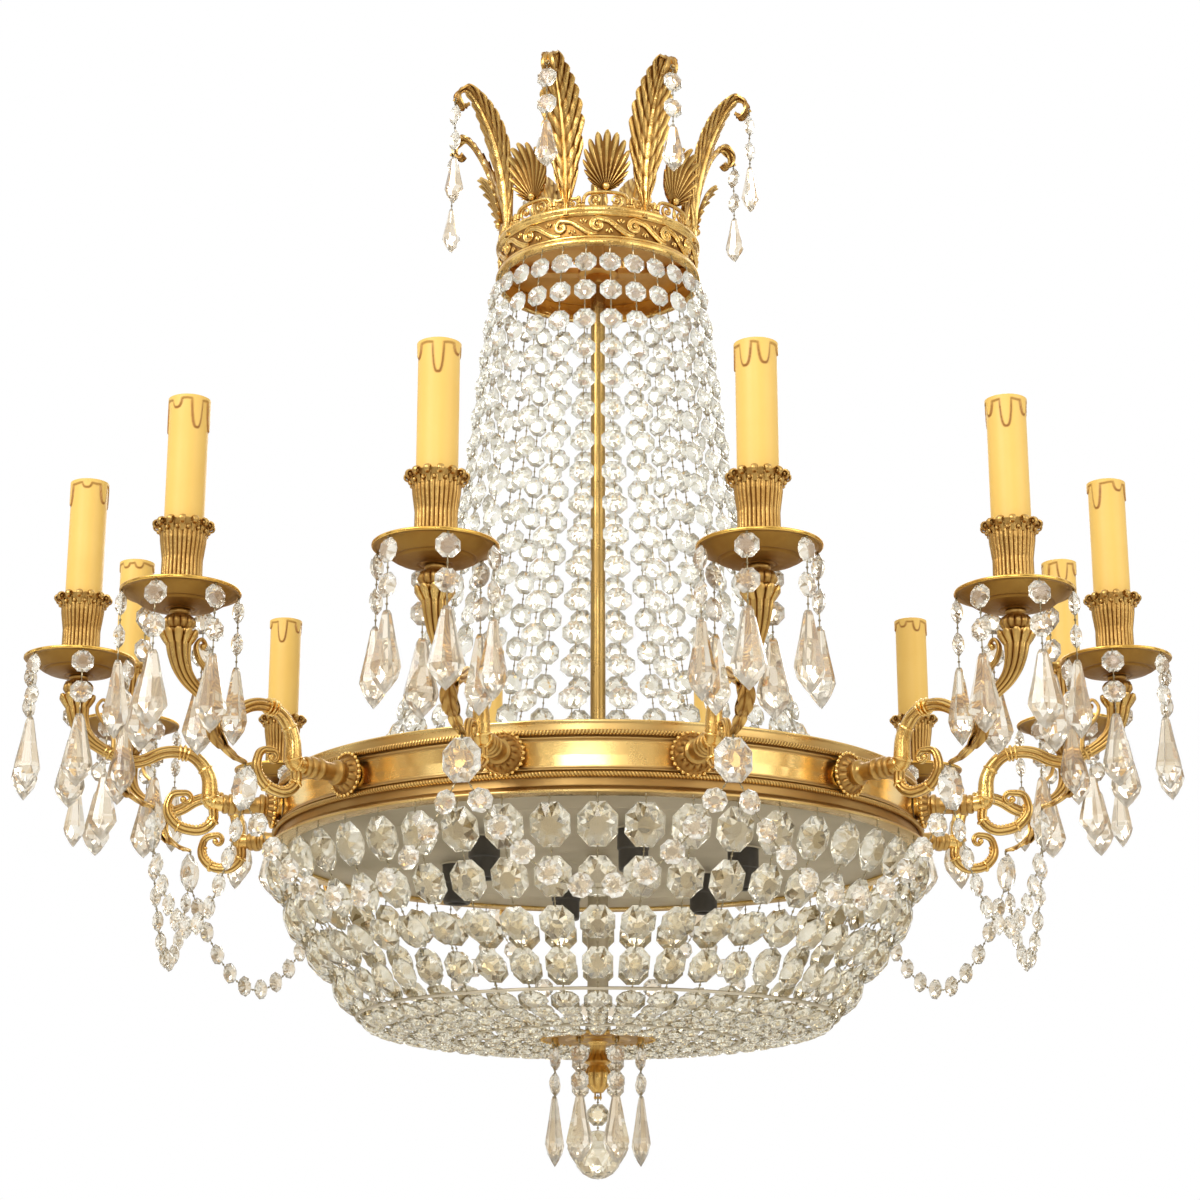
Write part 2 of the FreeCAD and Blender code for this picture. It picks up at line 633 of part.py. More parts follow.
# Boss plate, its hooks, the finial under it and what hangs there
plate_low_z = boss_plate_z - boss_plate_thick
hook_axis_z = plate_low_z - 3.0
plate = Part.makeCylinder(boss_plate_r, boss_plate_thick, Vector(0, 0, plate_low_z))
lug_thick = 1.5
lug_gap = eye_width + 1.0
lugs = []
for side in (-1, 1):
    low_y = side * (lug_gap / 2 + lug_thick / 2) - lug_thick / 2
    corner = Vector(bottom_string_r - 2, low_y, hook_axis_z - 2)
    lugs.append(Part.makeBox(4.0, lug_thick, plate_low_z - hook_axis_z + 2, corner))
hook_pin = Part.makeCylinder(
    hook_pin_r, lug_gap + 2 * lug_thick, Vector(bottom_string_r, -lug_gap / 2 - lug_thick, hook_axis_z),
    Vector(0, 1, 0))
hook = lugs[0].fuse(lugs[1]).fuse(hook_pin)
bottom_first = FRONT + 180.0 / bottom_string_count
write("boss_plate", [plate] + around([hook], bottom_string_count, bottom_first))

finial_low_z = plate_low_z - 40.0
ball_hook_z = finial_low_z - 3.0
finial = revolved([
    (0, plate_low_z), (8, plate_low_z), (6, plate_low_z - 10), (0.95 * finial_r, plate_low_z - 17),
    (0.6 * finial_r, plate_low_z - 19), (0.98 * finial_r, plate_low_z - 25), (finial_r, plate_low_z - 30),
    (0.8 * finial_r, plate_low_z - 35), (0.35 * finial_r, finial_low_z), (0, finial_low_z)])
pin_start = Vector(-lug_gap / 2 - lug_thick, 0, ball_hook_z)
ball_pin = Part.makeCylinder(hook_pin_r, lug_gap + 2 * lug_thick, pin_start, Vector(1, 0, 0))
for side in (-1, 1):
    low_x = side * (lug_gap / 2 + lug_thick / 2) - lug_thick / 2
    finial = finial.fuse(Part.makeBox(lug_thick, 4.0, 5.5, Vector(low_x, -2.0, ball_hook_z - 2)))
write("finial", [finial.fuse(ball_pin)])

# Strings that swing: eight from the plumes, eight under the boss plate, and the ball
plume_eye = point(hook_start + 2.0, hook_z)
plume_eye_axis = Vector(1, 0, 0)
top = plume_eye - Z_AXIS * (eye_r - pin_play)
beads, pins, one_drop = hanging_string(
    top, Vector(1, 0, 0), [small_bead] * 2, [3.0, small_gap, small_gap], crown_drop_length, crown_drop_width)
crown_string = [eye(plume_eye, plume_eye_axis)] + beads + pins + [one_drop]
for i in range(plume_count):
    angle = plume_first + 360.0 / plume_count * i
    write("crown_drop_%d" % (i + 1), [turned(s, angle) for s in crown_string])

bottom_eye = point(bottom_string_r, hook_axis_z)
top = bottom_eye - Z_AXIS * (eye_r - pin_play)
beads, pins, one_drop = hanging_string(
    top, Vector(1, 0, 0), [bottom_bead] * 2, [2.0, bottom_gap, 3.0], bottom_drop_length, bottom_drop_width,
    bottom_drop_depth_share)
bottom_string = [eye(bottom_eye, Vector(0, 1, 0))] + beads + pins + [one_drop]
for i in range(bottom_string_count):
    angle = bottom_first + 360.0 / bottom_string_count * i
    write("bottom_drop_%d" % (i + 1), [turned(s, angle) for s in bottom_string])

ball_eye = Vector(0, 0, ball_hook_z)
bead_top = ball_eye - Z_AXIS * (eye_r + 2.5)
bead_low = bead_top - Z_AXIS * ball_bead
ball_bead_solid = octagon(bead_top - Z_AXIS * (ball_bead / 2), Z_AXIS, Vector(0, -1, 0), ball_bead, ball_bead)
write("crystal_ball", [
    eye(ball_eye, Vector(1, 0, 0)), pin(ball_eye - Z_AXIS * (eye_r - pin_play), bead_top), ball_bead_solid,
    pin(bead_low, Vector(0, 0, ball_z + ball_r)), Part.makeSphere(ball_r, Vector(0, 0, ball_z))])
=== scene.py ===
import math
import bmesh
import bpy
import numpy as np
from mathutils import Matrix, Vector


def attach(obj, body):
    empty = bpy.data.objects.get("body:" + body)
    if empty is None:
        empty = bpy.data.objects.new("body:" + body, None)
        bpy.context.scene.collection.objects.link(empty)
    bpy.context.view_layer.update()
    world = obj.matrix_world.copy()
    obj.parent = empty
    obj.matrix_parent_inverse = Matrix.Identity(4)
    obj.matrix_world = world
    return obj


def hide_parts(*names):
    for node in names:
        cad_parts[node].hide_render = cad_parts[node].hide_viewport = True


# Crystal chandelier: gilt castings and cut crystal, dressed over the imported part.
# Shapes are worked out in millimetres about the stem and turned into metres when a piece is made.

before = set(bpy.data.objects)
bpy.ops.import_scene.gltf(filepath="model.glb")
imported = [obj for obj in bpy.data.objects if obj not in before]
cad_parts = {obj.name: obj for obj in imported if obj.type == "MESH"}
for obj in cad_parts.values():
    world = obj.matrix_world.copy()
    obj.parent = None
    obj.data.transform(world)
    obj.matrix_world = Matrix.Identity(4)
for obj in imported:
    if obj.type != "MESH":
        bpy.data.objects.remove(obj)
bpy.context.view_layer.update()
scene = bpy.context.scene
dice = np.random.RandomState(7)
front = -90.0


# Small tools for shapes. A shape is (points, faces, marks), and a mark of 1 is a deep recess, painted darkest
# as shade; on the candles a mark draws the brown drip line.

def gather(shapes):
    points, faces, marks, base = [], [], [], 0
    for somePoints, someFaces, someMarks in shapes:
        points.append(somePoints)
        marks.append(someMarks)
        faces += [tuple(i + base for i in face) for face in someFaces]
        base += len(somePoints)
    return np.vstack(points), faces, np.concatenate(marks)


def turned(shape, angle):
    points, faces, marks = shape
    a = math.radians(angle)
    turn = np.array([[math.cos(a), math.sin(a), 0], [-math.sin(a), math.cos(a), 0], [0, 0, 1]])
    return points @ turn, faces, marks


def shifted(shape, x=0.0, y=0.0, z=0.0):
    return shape[0] + np.array([x, y, z]), shape[1], shape[2]


def tipped(shape):  # a shape turned about Z now points out along X
    p = shape[0]
    return np.stack([p[:, 2], p[:, 1], -p[:, 0]], axis=1), shape[1], shape[2]


def shadedOver(shape, mark):  # darkened all over as painted shade, and its own recesses kept
    return shape[0], shape[1], np.maximum(shape[2], mark)


def around(shape, count, first=0.0):
    return gather([turned(shape, first + 360.0 / count * i) for i in range(count)])


def ringAngles(steps):
    return np.arange(steps) * 2 * math.pi / steps


def aboutAxis(radius, angles, z):  # points from radii, angles and heights
    radius, angles, z = np.broadcast_arrays(radius, angles, z)
    return np.stack([radius * np.cos(angles), radius * np.sin(angles), z], axis=-1)


def onBand(shape, radius, angle=front):  # wraps flat work (x along, y out, z up) round a band
    p = shape[0]
    return aboutAxis(radius + p[:, 1], math.radians(angle) + p[:, 0] / radius, p[:, 2]), shape[1], shape[2]


def sheet(rows, marks=None, ring=False, caps=False):  # rows of points, each closed round, joined in turn
    n, m = rows.shape[:2]
    marks = np.zeros((n, m)) if marks is None else marks
    faces = []
    for i in range(n if ring else n - 1):
        low, high = i * m, (i + 1) % n * m
        for j in range(m):
            k = (j + 1) % m
            faces.append((low + j, low + k, high + k, high + j))
    if caps:
        faces.append(tuple(range(m))[::-1])
        faces.append(tuple((n - 1) * m + j for j in range(m)))
    return rows.reshape(-1, 3), faces, marks.reshape(-1)


def slab(outer, inner, marks):  # a front and a back skin, closed round their border
    n, m = outer.shape[:2]
    total = n * m
    faces = []
    for i in range(n - 1):
        for j in range(m - 1):
            a, b, c, d = i * m + j, i * m + j + 1, (i + 1) * m + j + 1, (i + 1) * m + j
            faces.append((a, b, c, d))
            faces.append((d + total, c + total, b + total, a + total))
    border = [j for j in range(m)] + [i * m + m - 1 for i in range(1, n)]
    border += [(n - 1) * m + j for j in range(m - 2, -1, -1)] + [i * m for i in range(n - 2, 0, -1)]
    for a, b in zip(border, border[1:] + border[:1]):
        faces.append((b, a, a + total, b + total))
    points = np.vstack([outer.reshape(-1, 3), inner.reshape(-1, 3)])
    return points, faces, np.concatenate([marks.reshape(-1), marks.reshape(-1)])


def unit(vector):
    return vector / max(np.linalg.norm(vector), 1e-9)


def cornerEnds(before, corner, after, radius, share):  # where a rounded corner starts and ends
    back, ahead = before - corner, after - corner
    backLength, aheadLength = np.linalg.norm(back), np.linalg.norm(ahead)
    reach = min(radius, share * backLength, share * aheadLength)
    return corner + back / backLength * reach, corner + ahead / aheadLength * reach


def softened(profile, radius, closed):  # rounds each corner of a profile with three points
    corners = [np.array(p, float) for p in profile]
    count = len(corners)
    out = []
    for i, corner in enumerate(corners):
        if not closed and i in (0, count - 1):
            out.append(corner)
            continue
        start, end = cornerEnds(corners[i - 1], corner, corners[(i + 1) % count], radius, 0.4)
        out += [start, 0.25 * start + 0.5 * corner + 0.25 * end, end]
    return np.array(out)


def lathe(profile, steps=48, soft=0.4, closed=True, lobes=0, depth=0.0, shares=None):
    # shares: how much of the lobe depth each height takes, as (z, share) pairs
    line = softened(profile, soft, closed) if soft else np.array(profile, float)
    angles = ringAngles(steps)
    dip = 1 - np.abs(np.sin(lobes * angles / 2)) if lobes else np.zeros(steps)
    share = np.zeros(len(line))
    if lobes:
        heights, amounts = zip(*sorted(shares))
        share = np.interp(line[:, 1], heights, amounts)
    # the lobes' hollows are marked dark, as painted shade
    marks = share[:, None] * dip
    radius = np.maximum(line[:, 0, None] - depth * marks, 0.0)
    return sheet(aboutAxis(radius, angles, line[:, 1, None]), marks, ring=closed)


def smoothPath(points, perSpan=8):
    p = np.array(points, float)
    p = np.vstack([2 * p[0] - p[1], p, 2 * p[-1] - p[-2]])
    out = []
    for i in range(len(p) - 3):
        a, b, c, d = p[i:i + 4]
        for t in np.arange(perSpan) / perSpan:
            out.append(0.5 * (2 * b + (c - a) * t + (2 * a - 5 * b + 4 * c - d) * t ** 2
                              + (3 * b - a - 3 * c + d) * t ** 3))
    out.append(p[-2])
    return np.array(out)


def evenPath(points, count):
    line = smoothPath(points, 12)
    steps = np.linalg.norm(np.diff(line, axis=0), axis=1)
    along = np.concatenate([[0], np.cumsum(steps)])
    where = np.linspace(0, along[-1], count)
    return np.stack([np.interp(where, along, line[:, k]) for k in range(line.shape[1])], axis=1), along[-1]


def upright(points):  # (r, z) pairs as points in the plane y = 0
    return np.array([[r, 0.0, z] for r, z in points])


def headings(path):
    steps = np.gradient(path, axis=0)
    return steps / np.linalg.norm(steps, axis=1)[:, None]


def sized(shares, count, size):  # sizes along a path of count points, from (place, share) pairs
    return np.interp(np.linspace(0, 1, count), *zip(*shares)) * size


def tube(path, radii, sides=12, lobes=0, depth=0.0, flat=1.0, sideways=(0, 1, 0)):
    path = np.array(path, float)
    side = np.broadcast_to(np.array(sideways, float), path.shape)
    lift = np.cross(headings(path), side)
    lift /= np.linalg.norm(lift, axis=1)[:, None]
    radii = np.broadcast_to(np.array(radii, float), (len(path),))
    angles = ringAngles(sides)
    dip = 1 - np.abs(np.sin(lobes * angles / 2)) if lobes else np.zeros(sides)
    depths = np.broadcast_to(np.reshape(depth, (-1, 1)), (len(path), 1))
    reach = radii[:, None] * (1 - depths * dip)
    rows = path[:, None, :] + (reach * np.cos(angles))[:, :, None] * lift[:, None, :]
    rows = rows + (reach * np.sin(angles) * flat)[:, :, None] * side[:, None, :]
    # flute hollows are marked dark, as painted shade
    return sheet(rows, dip * np.clip(depths / 0.15, 0, 1), caps=True)


def pearl(centre, radius, sides=10, rings=5, squash=1.0):
    lift = np.linspace(-math.pi / 2, math.pi / 2, rings + 1)
    profile = np.stack([radius * np.cos(lift), radius * np.sin(lift) * squash], axis=1)
    profile[[0, -1], 0] = 0.0
    return shifted(lathe(profile, sides, 0, False), *centre)


def collar(path, share, radius, thick):  # a ring bead round a tube at one place of its path
    path = np.array(path, float)
    at = share * (len(path) - 1)
    i = int(min(at, len(path) - 2))
    step = path[i + 1] - path[i]
    places = np.array([-1.0, -0.7, 0, 0.7, 1.0])[:, None] * thick / 2
    widths = np.array([0.8, 0.94, 1.0, 0.94, 0.8]) * radius
    return tube(path[i] + step * (at - i) + unit(step) * places, widths, 20)


def bentBlade(line, where, height, across, marks, spec):
    # Lays a blade on an (r, z) path. The back follows the front's relief by the share in spec.
    at, grid = where * (len(line) - 1), np.arange(len(line))
    r, z, stepR, stepZ = [np.interp(at, grid, values) for values in (*line.T, *headings(line).T)]
    skins = []
    for offset, share in ((spec["thick"] / 2, 1.0), (-spec["thick"] / 2, spec["back"])):
        lift = height * share + offset
        x = r + stepZ * lift
        skins.append(np.stack([x, np.broadcast_to(across, x.shape), z - stepR * lift], axis=2))
    return slab(skins[0], skins[1], marks)


bladeSteps = 200


def leafBlade(points, widths, spec):
    # A cast acanthus leaf on an (r, z) path. Rows sweep up towards the edge, so teeth and veins lean.
    line, length = evenPath(points, bladeSteps)
    u = np.linspace(0, 1, spec["rows"])[:, None]
    v = np.linspace(-1, 1, spec["columns"])[None, :]
    half = np.interp(u, np.linspace(0, 1, len(widths)), widths) / 2
    tooth = np.mod(u * spec["lobes"], 1.0)
    edge = np.abs(v)
    scallop = 1 - np.sin(math.pi * tooth) ** 0.5
    reach = half * (1 - spec["serration"] * scallop * edge ** 2)
    where = np.clip(u + spec["sweep"] * edge ** 1.4 * half / length, 0, 1)
    rib = np.exp(-(v / 0.1) ** 2)
    vein = np.sin(math.pi * tooth) ** 0.7 * edge ** 0.6
    flute = np.abs(np.cos(v * math.pi * spec["flutes"] / 2)) * (1 - edge) * (1 - 0.7 * u)
    height = spec["relief"] * (0.9 * rib + vein + 0.9 * flute - 0.6) - spec["cup"] * edge ** 2 * half
    # what lies off the rib, veins and flutes is marked dark, as painted shade
    marks = np.clip(1.45 - 1.35 * (rib + vein + flute), 0, 1)
    return bentBlade(line, where, height, reach * v, marks, spec)


def fanBlade(points, spec):
    # A palmette: lobes spread from the foot over a bent strip.
    line, length = evenPath(points, bladeSteps)
    rho = np.linspace(0.04, 1, spec["rows"])[:, None]
    fan = np.linspace(-1, 1, spec["columns"])[None, :]
    ridge = np.abs(np.cos(math.pi * spec["lobes"] * fan / 2))
    a = fan * math.radians(spec["spread"])
    oval = np.cos(a) / (np.cos(a) ** 2 + spec["slimness"] ** 2 * np.sin(a) ** 2)
    reach = oval * (1 - spec["notch"] * (1 - ridge ** 0.8))
    where = np.clip(rho * reach * np.cos(a), 0, 1)
    height = spec["relief"] * (ridge ** 1.6 * rho ** 0.5 - 0.6) + spec["curl"] * rho ** 4
    # the gaps between lobes and the foot are marked dark, as painted shade
    marks = np.clip((1 - ridge ** 1.5) * 1.6 + 0.6 * (1 - rho) ** 1.5, 0, 1)
    return bentBlade(line, where, height, rho * reach * np.sin(a) * length, marks, spec)


def makePiece(name, shape, material, nodes=(), body="frame", sharp=38.0, tones=None):
    points, faces, marks = shape
    mesh = bpy.data.meshes.new(name)
    mesh.from_pydata((points * 0.001).tolist(), [], faces)
    # the marks darken the colour as painted shade in the hollows, and draw the candles' brown drip line
    mesh.attributes.new("recess", "FLOAT", "POINT").data.foreach_set("value", marks)
    if tones is not None:
        mesh.attributes.new("tone", "FLOAT", "FACE").data.foreach_set("value", tones)
    work = bmesh.new()
    work.from_mesh(mesh)
    bmesh.ops.remove_doubles(work, verts=work.verts, dist=1e-6)
    bmesh.ops.recalc_face_normals(work, faces=work.faces)
    work.to_mesh(mesh)
    work.free()
    if sharp:
        mesh.polygons.foreach_set("use_smooth", [True] * len(mesh.polygons))
        mesh.set_sharp_from_angle(angle=math.radians(sharp))
    mesh.materials.append(material)
    piece = bpy.data.objects.new(name, mesh)
    scene.collection.objects.link(piece)
    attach(piece, body)
    if nodes:
        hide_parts(*nodes)
    return piece


# Shared effects

def newGroup(name, inputs, outputs):
    group = bpy.data.node_groups.new(name, "ShaderNodeTree")
    for label, kind, value in inputs:
        socket = group.interface.new_socket(name=label, in_out="INPUT", socket_type=kind)
        socket.default_value = value
    for label, kind in outputs:
        group.interface.new_socket(name=label, in_out="OUTPUT", socket_type=kind)
    return group, group.nodes.new("NodeGroupInput"), group.nodes.new("NodeGroupOutput")


def addNode(tree, kind, **settings):
    node = tree.nodes.new(kind)
    for key, value in settings.items():
        setattr(node, key, value)
    return node


def feed(tree, socket, value):  # a socket takes a number, a colour or another node's output
    if hasattr(value, "is_linked"):
        tree.links.new(value, socket)
    else:
        socket.default_value = (*value, 1.0) if isinstance(value, tuple) else value


def mathNode(tree, operation, *values, clamp=False):
    node = addNode(tree, "ShaderNodeMath", operation=operation, use_clamp=clamp)
    for socket, value in zip(node.inputs, values):
        feed(tree, socket, value)
    return node.outputs[0]


def mixColour(tree, share, first, second):
    node = addNode(tree, "ShaderNodeMix", data_type="RGBA")
    for index, value in ((0, share), (6, first), (7, second)):
        feed(tree, node.inputs[index], value)
    return node.outputs[2]


def noise(tree, scale, detail):
    where = addNode(tree, "ShaderNodeTexCoord")
    node = addNode(tree, "ShaderNodeTexNoise")
    tree.links.new(where.outputs["Object"], node.inputs["Vector"])
    for label, value in (("Scale", scale), ("Detail", detail), ("Roughness", 0.55)):
        feed(tree, node.inputs[label], value)
    return node.outputs["Fac"]


def gildingGroup():
    # Bright gilt on what stands proud, brown lacquer and old polish in the hollows, and the hollows darkened
    # further towards Deep as painted shade.
    group, inward, outward = newGroup(
        "gilding with patina and painted shade",
        [("Bright", "NodeSocketColor", (0.9, 0.68, 0.3, 1)),
         ("Middle", "NodeSocketColor", (0.6, 0.4, 0.13, 1)),
         ("Deep", "NodeSocketColor", (0.24, 0.11, 0.025, 1)), ("Cloud Scale", "NodeSocketFloat", 30.0),
         ("Recess Strength", "NodeSocketFloat", 1.0), ("Patina", "NodeSocketFloat", 0.5)],
        [("Colour", "NodeSocketColor"), ("Roughness", "NodeSocketFloat"), ("Height", "NodeSocketFloat")])
    recess = addNode(group, "ShaderNodeAttribute", attribute_name="recess").outputs["Fac"]
    geometry = addNode(group, "ShaderNodeNewGeometry")
    cloud = noise(group, inward.outputs["Cloud Scale"], 4.0)
    fine = noise(group, 900.0, 2.0)
    worn = mathNode(group, "MULTIPLY_ADD", geometry.outputs["Pointiness"], 6.0, -2.6, clamp=True)
    dark = mathNode(group, "MULTIPLY", recess, inward.outputs["Recess Strength"], clamp=True)
    blotch = mathNode(group, "SUBTRACT", cloud, 0.42)
    blotch = mathNode(group, "MULTIPLY", blotch, 4.0, clamp=True)
    blotch = mathNode(group, "MULTIPLY", blotch, inward.outputs["Patina"])
    base = mixColour(group, blotch, inward.outputs["Bright"], inward.outputs["Middle"])
    # painted shade: the recess marks pull the colour towards Deep
    hollow = mixColour(group, dark, base, inward.outputs["Deep"])
    edge = mathNode(group, "MULTIPLY", worn, 0.35)
    colour = mixColour(group, edge, hollow, inward.outputs["Bright"])
    rough = mathNode(group, "MULTIPLY", dark, 0.25)
    rough = mathNode(group, "MULTIPLY_ADD", blotch, 0.18, rough)
    rough = mathNode(group, "MULTIPLY_ADD", fine, 0.08, rough)
    height = mathNode(group, "MULTIPLY_ADD", noise(group, 210.0, 2.0), 0.6, cloud)
    height = mathNode(group, "MULTIPLY_ADD", fine, 0.2, height)
    group.links.new(colour, outward.inputs["Colour"])
    group.links.new(rough, outward.inputs["Roughness"])
    group.links.new(height, outward.inputs["Height"])
    return group


def facetGroup():
    # Each cut face has its own tone, from a dark beige that paints the room's reflection to clear white.
    group, inward, outward = newGroup(
        "facet tone",
        [("Dark Reflection", "NodeSocketColor", (0.4, 0.36, 0.3, 1)), ("Warm", "NodeSocketColor", (0.86, 0.8, 0.68, 1)),
         ("Clear", "NodeSocketColor", (0.98, 0.97, 0.94, 1))],
        [("Colour", "NodeSocketColor"), ("Mask", "NodeSocketFloat")])
    tone = addNode(group, "ShaderNodeAttribute", attribute_name="tone").outputs["Fac"]
    low = mathNode(group, "MULTIPLY", tone, 2.0, clamp=True)
    high = mathNode(group, "MULTIPLY_ADD", tone, 2.0, -1.0, clamp=True)
    first = mixColour(group, low, inward.outputs["Dark Reflection"], inward.outputs["Warm"])
    colour = mixColour(group, high, first, inward.outputs["Clear"])
    group.links.new(colour, outward.inputs["Colour"])
    group.links.new(tone, outward.inputs["Mask"])
    return group


gilding = gildingGroup()
facetTone = facetGroup()


def placeGroup(tree, group, values):
    node = addNode(tree, "ShaderNodeGroup")
    node.node_tree = group
    for key, value in values.items():
        feed(tree, node.inputs[key], value)
    return node


def newMaterial(name, settings):
    material = bpy.data.materials.new(name)
    material.use_nodes = True
    shader = material.node_tree.nodes["Principled BSDF"]
    for key, value in settings.items():
        feed(material.node_tree, shader.inputs[key], value)
    return material, material.node_tree, shader


def addBump(tree, shader, height, strength, depth):  # depth in millimetres
    lumps = addNode(tree, "ShaderNodeBump")
    for label, value in (("Strength", strength), ("Distance", depth * 0.001), ("Height", height)):
        feed(tree, lumps.inputs[label], value)
    tree.links.new(lumps.outputs["Normal"], shader.inputs["Normal"])


def giltMaterial(name, gilt, rough, bump, depth=0.4):
    material, tree, shader = newMaterial(name, {"Metallic": 1.0})
    node = placeGroup(tree, gilding, gilt)
    tree.links.new(node.outputs["Colour"], shader.inputs["Base Color"])
    tree.links.new(mathNode(tree, "ADD", node.outputs["Roughness"], rough), shader.inputs["Roughness"])
    addBump(tree, shader, node.outputs["Height"], bump, depth)
    return material


giltCasting = giltMaterial("gilt casting", {
    "Bright": (0.88, 0.60, 0.20), "Middle": (0.55, 0.28, 0.055), "Deep": (0.20, 0.072, 0.009),
    "Cloud Scale": 45.0, "Recess Strength": 1.15, "Patina": 0.75}, 0.12, 0.5, 1.3)
giltPolished = giltMaterial("polished gilt band", {
    "Bright": (0.93, 0.68, 0.27), "Middle": (0.68, 0.41, 0.12), "Deep": (0.20, 0.075, 0.012),
    "Cloud Scale": 14.0, "Recess Strength": 1.0, "Patina": 0.7}, 0.14, 0.05)
# a darker copy of the gilt for the drip pans; with the marks under the pans it paints their shade and dark
# reflection
giltPan = giltMaterial("gilt pan", {
    "Bright": (0.88, 0.55, 0.13), "Middle": (0.52, 0.26, 0.04), "Deep": (0.13, 0.04, 0.003),
    "Cloud Scale": 30.0, "Recess Strength": 1.0, "Patina": 0.8}, 0.14, 0.3, 0.8)
# a darker copy of the brass for the spiders, nuts and tent hoop inside the crown and ring, as painted shade
shadedBrass = giltMaterial("shaded brass inside", {
    "Bright": (0.66, 0.36, 0.10), "Middle": (0.46, 0.22, 0.045), "Deep": (0.14, 0.05, 0.009),
    "Cloud Scale": 22.0, "Recess Strength": 1.0, "Patina": 0.8}, 0.32, 0.3)
wireBrass = giltMaterial("brass wire", {
    "Bright": (0.38, 0.32, 0.20), "Middle": (0.20, 0.165, 0.10), "Deep": (0.06, 0.045, 0.02),
    "Cloud Scale": 120.0, "Recess Strength": 1.0, "Patina": 0.7}, 0.22, 0.2)
stemBrass = giltMaterial("pale brass tube", {
    "Bright": (0.50, 0.33, 0.11), "Middle": (0.28, 0.16, 0.045), "Deep": (0.10, 0.04, 0.008),
    "Cloud Scale": 12.0, "Recess Strength": 1.0, "Patina": 0.7}, 0.1, 0.1)
dullPlate = giltMaterial("dull plate", {
    "Bright": (0.60, 0.53, 0.40), "Middle": (0.44, 0.38, 0.26), "Deep": (0.16, 0.12, 0.07),
    "Cloud Scale": 9.0, "Recess Strength": 1.0, "Patina": 0.8}, 0.5, 0.3)


def crystalMaterial(name, tones, clearness):
    material, tree, shader = newMaterial(name, {
        "Metallic": 0.0, "Transmission Weight": clearness, "IOR": 1.5, "Roughness": 0.02})
    node = placeGroup(tree, facetTone, tones)
    tree.links.new(node.outputs["Colour"], shader.inputs["Base Color"])
    return material


# Three copies of one crystal: the tent's lighter tones paint the light on it, the basket's and the ball's
# darker tones paint the shade under the lamp plate.
clearCrystal = crystalMaterial("cut crystal", {
    "Dark Reflection": (0.48, 0.38, 0.25), "Warm": (0.94, 0.81, 0.62), "Clear": (1.0, 0.97, 0.88)}, 0.83)
tentCrystal = crystalMaterial("bright cut crystal", {
    "Dark Reflection": (0.56, 0.51, 0.38), "Warm": (0.98, 0.95, 0.82), "Clear": (1.0, 0.99, 0.925)}, 0.80)
darkFacetCrystal = crystalMaterial("dark-faceted cut crystal", {
    "Dark Reflection": (0.24, 0.17, 0.08), "Warm": (0.97, 0.84, 0.58), "Clear": (1.0, 0.965, 0.83)}, 0.84)


def candleMaterial():
    material, tree, shader = newMaterial("candle cream", {"IOR": 1.46, "Specular IOR Level": 0.4})
    outline = addNode(tree, "ShaderNodeAttribute", attribute_name="recess").outputs["Fac"]
    cloud = noise(tree, 26.0, 3.0)
    fine = noise(tree, 500.0, 2.0)
    cream = mixColour(tree, cloud, (0.85, 0.565, 0.145), (0.79, 0.49, 0.11))
    cream = mixColour(tree, outline, cream, (0.36, 0.155, 0.03))
    tree.links.new(cream, shader.inputs["Base Color"])
    tree.links.new(mathNode(tree, "MULTIPLY_ADD", cloud, 0.2, 0.32), shader.inputs["Roughness"])
    addBump(tree, shader, mathNode(tree, "ADD", fine, cloud), 0.15, 0.5)
    return material


def holderMaterial():
    material, tree, shader = newMaterial("lampholder black", {"IOR": 1.5})
    cloud = noise(tree, 60.0, 3.0)
    colour = mixColour(tree, cloud, (0.035, 0.031, 0.026), (0.085, 0.075, 0.06))
    tree.links.new(colour, shader.inputs["Base Color"])
    tree.links.new(mathNode(tree, "MULTIPLY_ADD", cloud, 0.3, 0.3), shader.inputs["Roughness"])
    addBump(tree, shader, noise(tree, 700.0, 2.0), 0.1, 0.3)
    return material


candleCream = candleMaterial()
holderBlack = holderMaterial()
print("materials ready")


def giltPiece(name, shape, node, material=giltCasting):
    makePiece(name, shape, material, [node])


# Stem, with its thread and nuts

# the shank is darkened all over by its mark, as painted shade
stemSpec = {"threadRadius": 5.0, "threadLength": 25.0, "radius": 6.0, "bore": 3.2, "bottom": -728.0,
            "sleeveRadius": 8.0, "sleeveTop": -591.0, "gap": 0.15, "pitch": 1.0, "threadDepth": 0.55,
            "shadeMark": 0.25}
stemHole = stemSpec["radius"] + stemSpec["gap"]


def threadedStem(spec):
    rows, marks, perTurn = [], [], 6
    angles = ringAngles(28)
    count = int(spec["threadLength"] / spec["pitch"] * perTurn)
    for i in range(count + 1):
        z = -i / perTurn * spec["pitch"]
        edge = min(1.0, i / perTurn, (count - i) / perTurn)
        cut = (0.5 + 0.5 * np.cos(2 * math.pi * z / spec["pitch"] + angles)) * edge
        rows.append(aboutAxis(spec["threadRadius"] - spec["threadDepth"] * cut, angles, z))
        # the thread's grooves are marked dark, as painted shade
        marks.append(cut * 0.6)
    for radius, z in ((spec["radius"], -spec["threadLength"] - 0.6), (spec["radius"], spec["bottom"]),
                      (spec["bore"], spec["bottom"]), (spec["bore"], -0.6), (spec["bore"] + 0.6, 0.0)):
        rows.append(aboutAxis(radius, angles, z))
        marks.append(np.full(len(angles), spec["shadeMark"]))
    return sheet(np.array(rows), np.array(marks), ring=True)


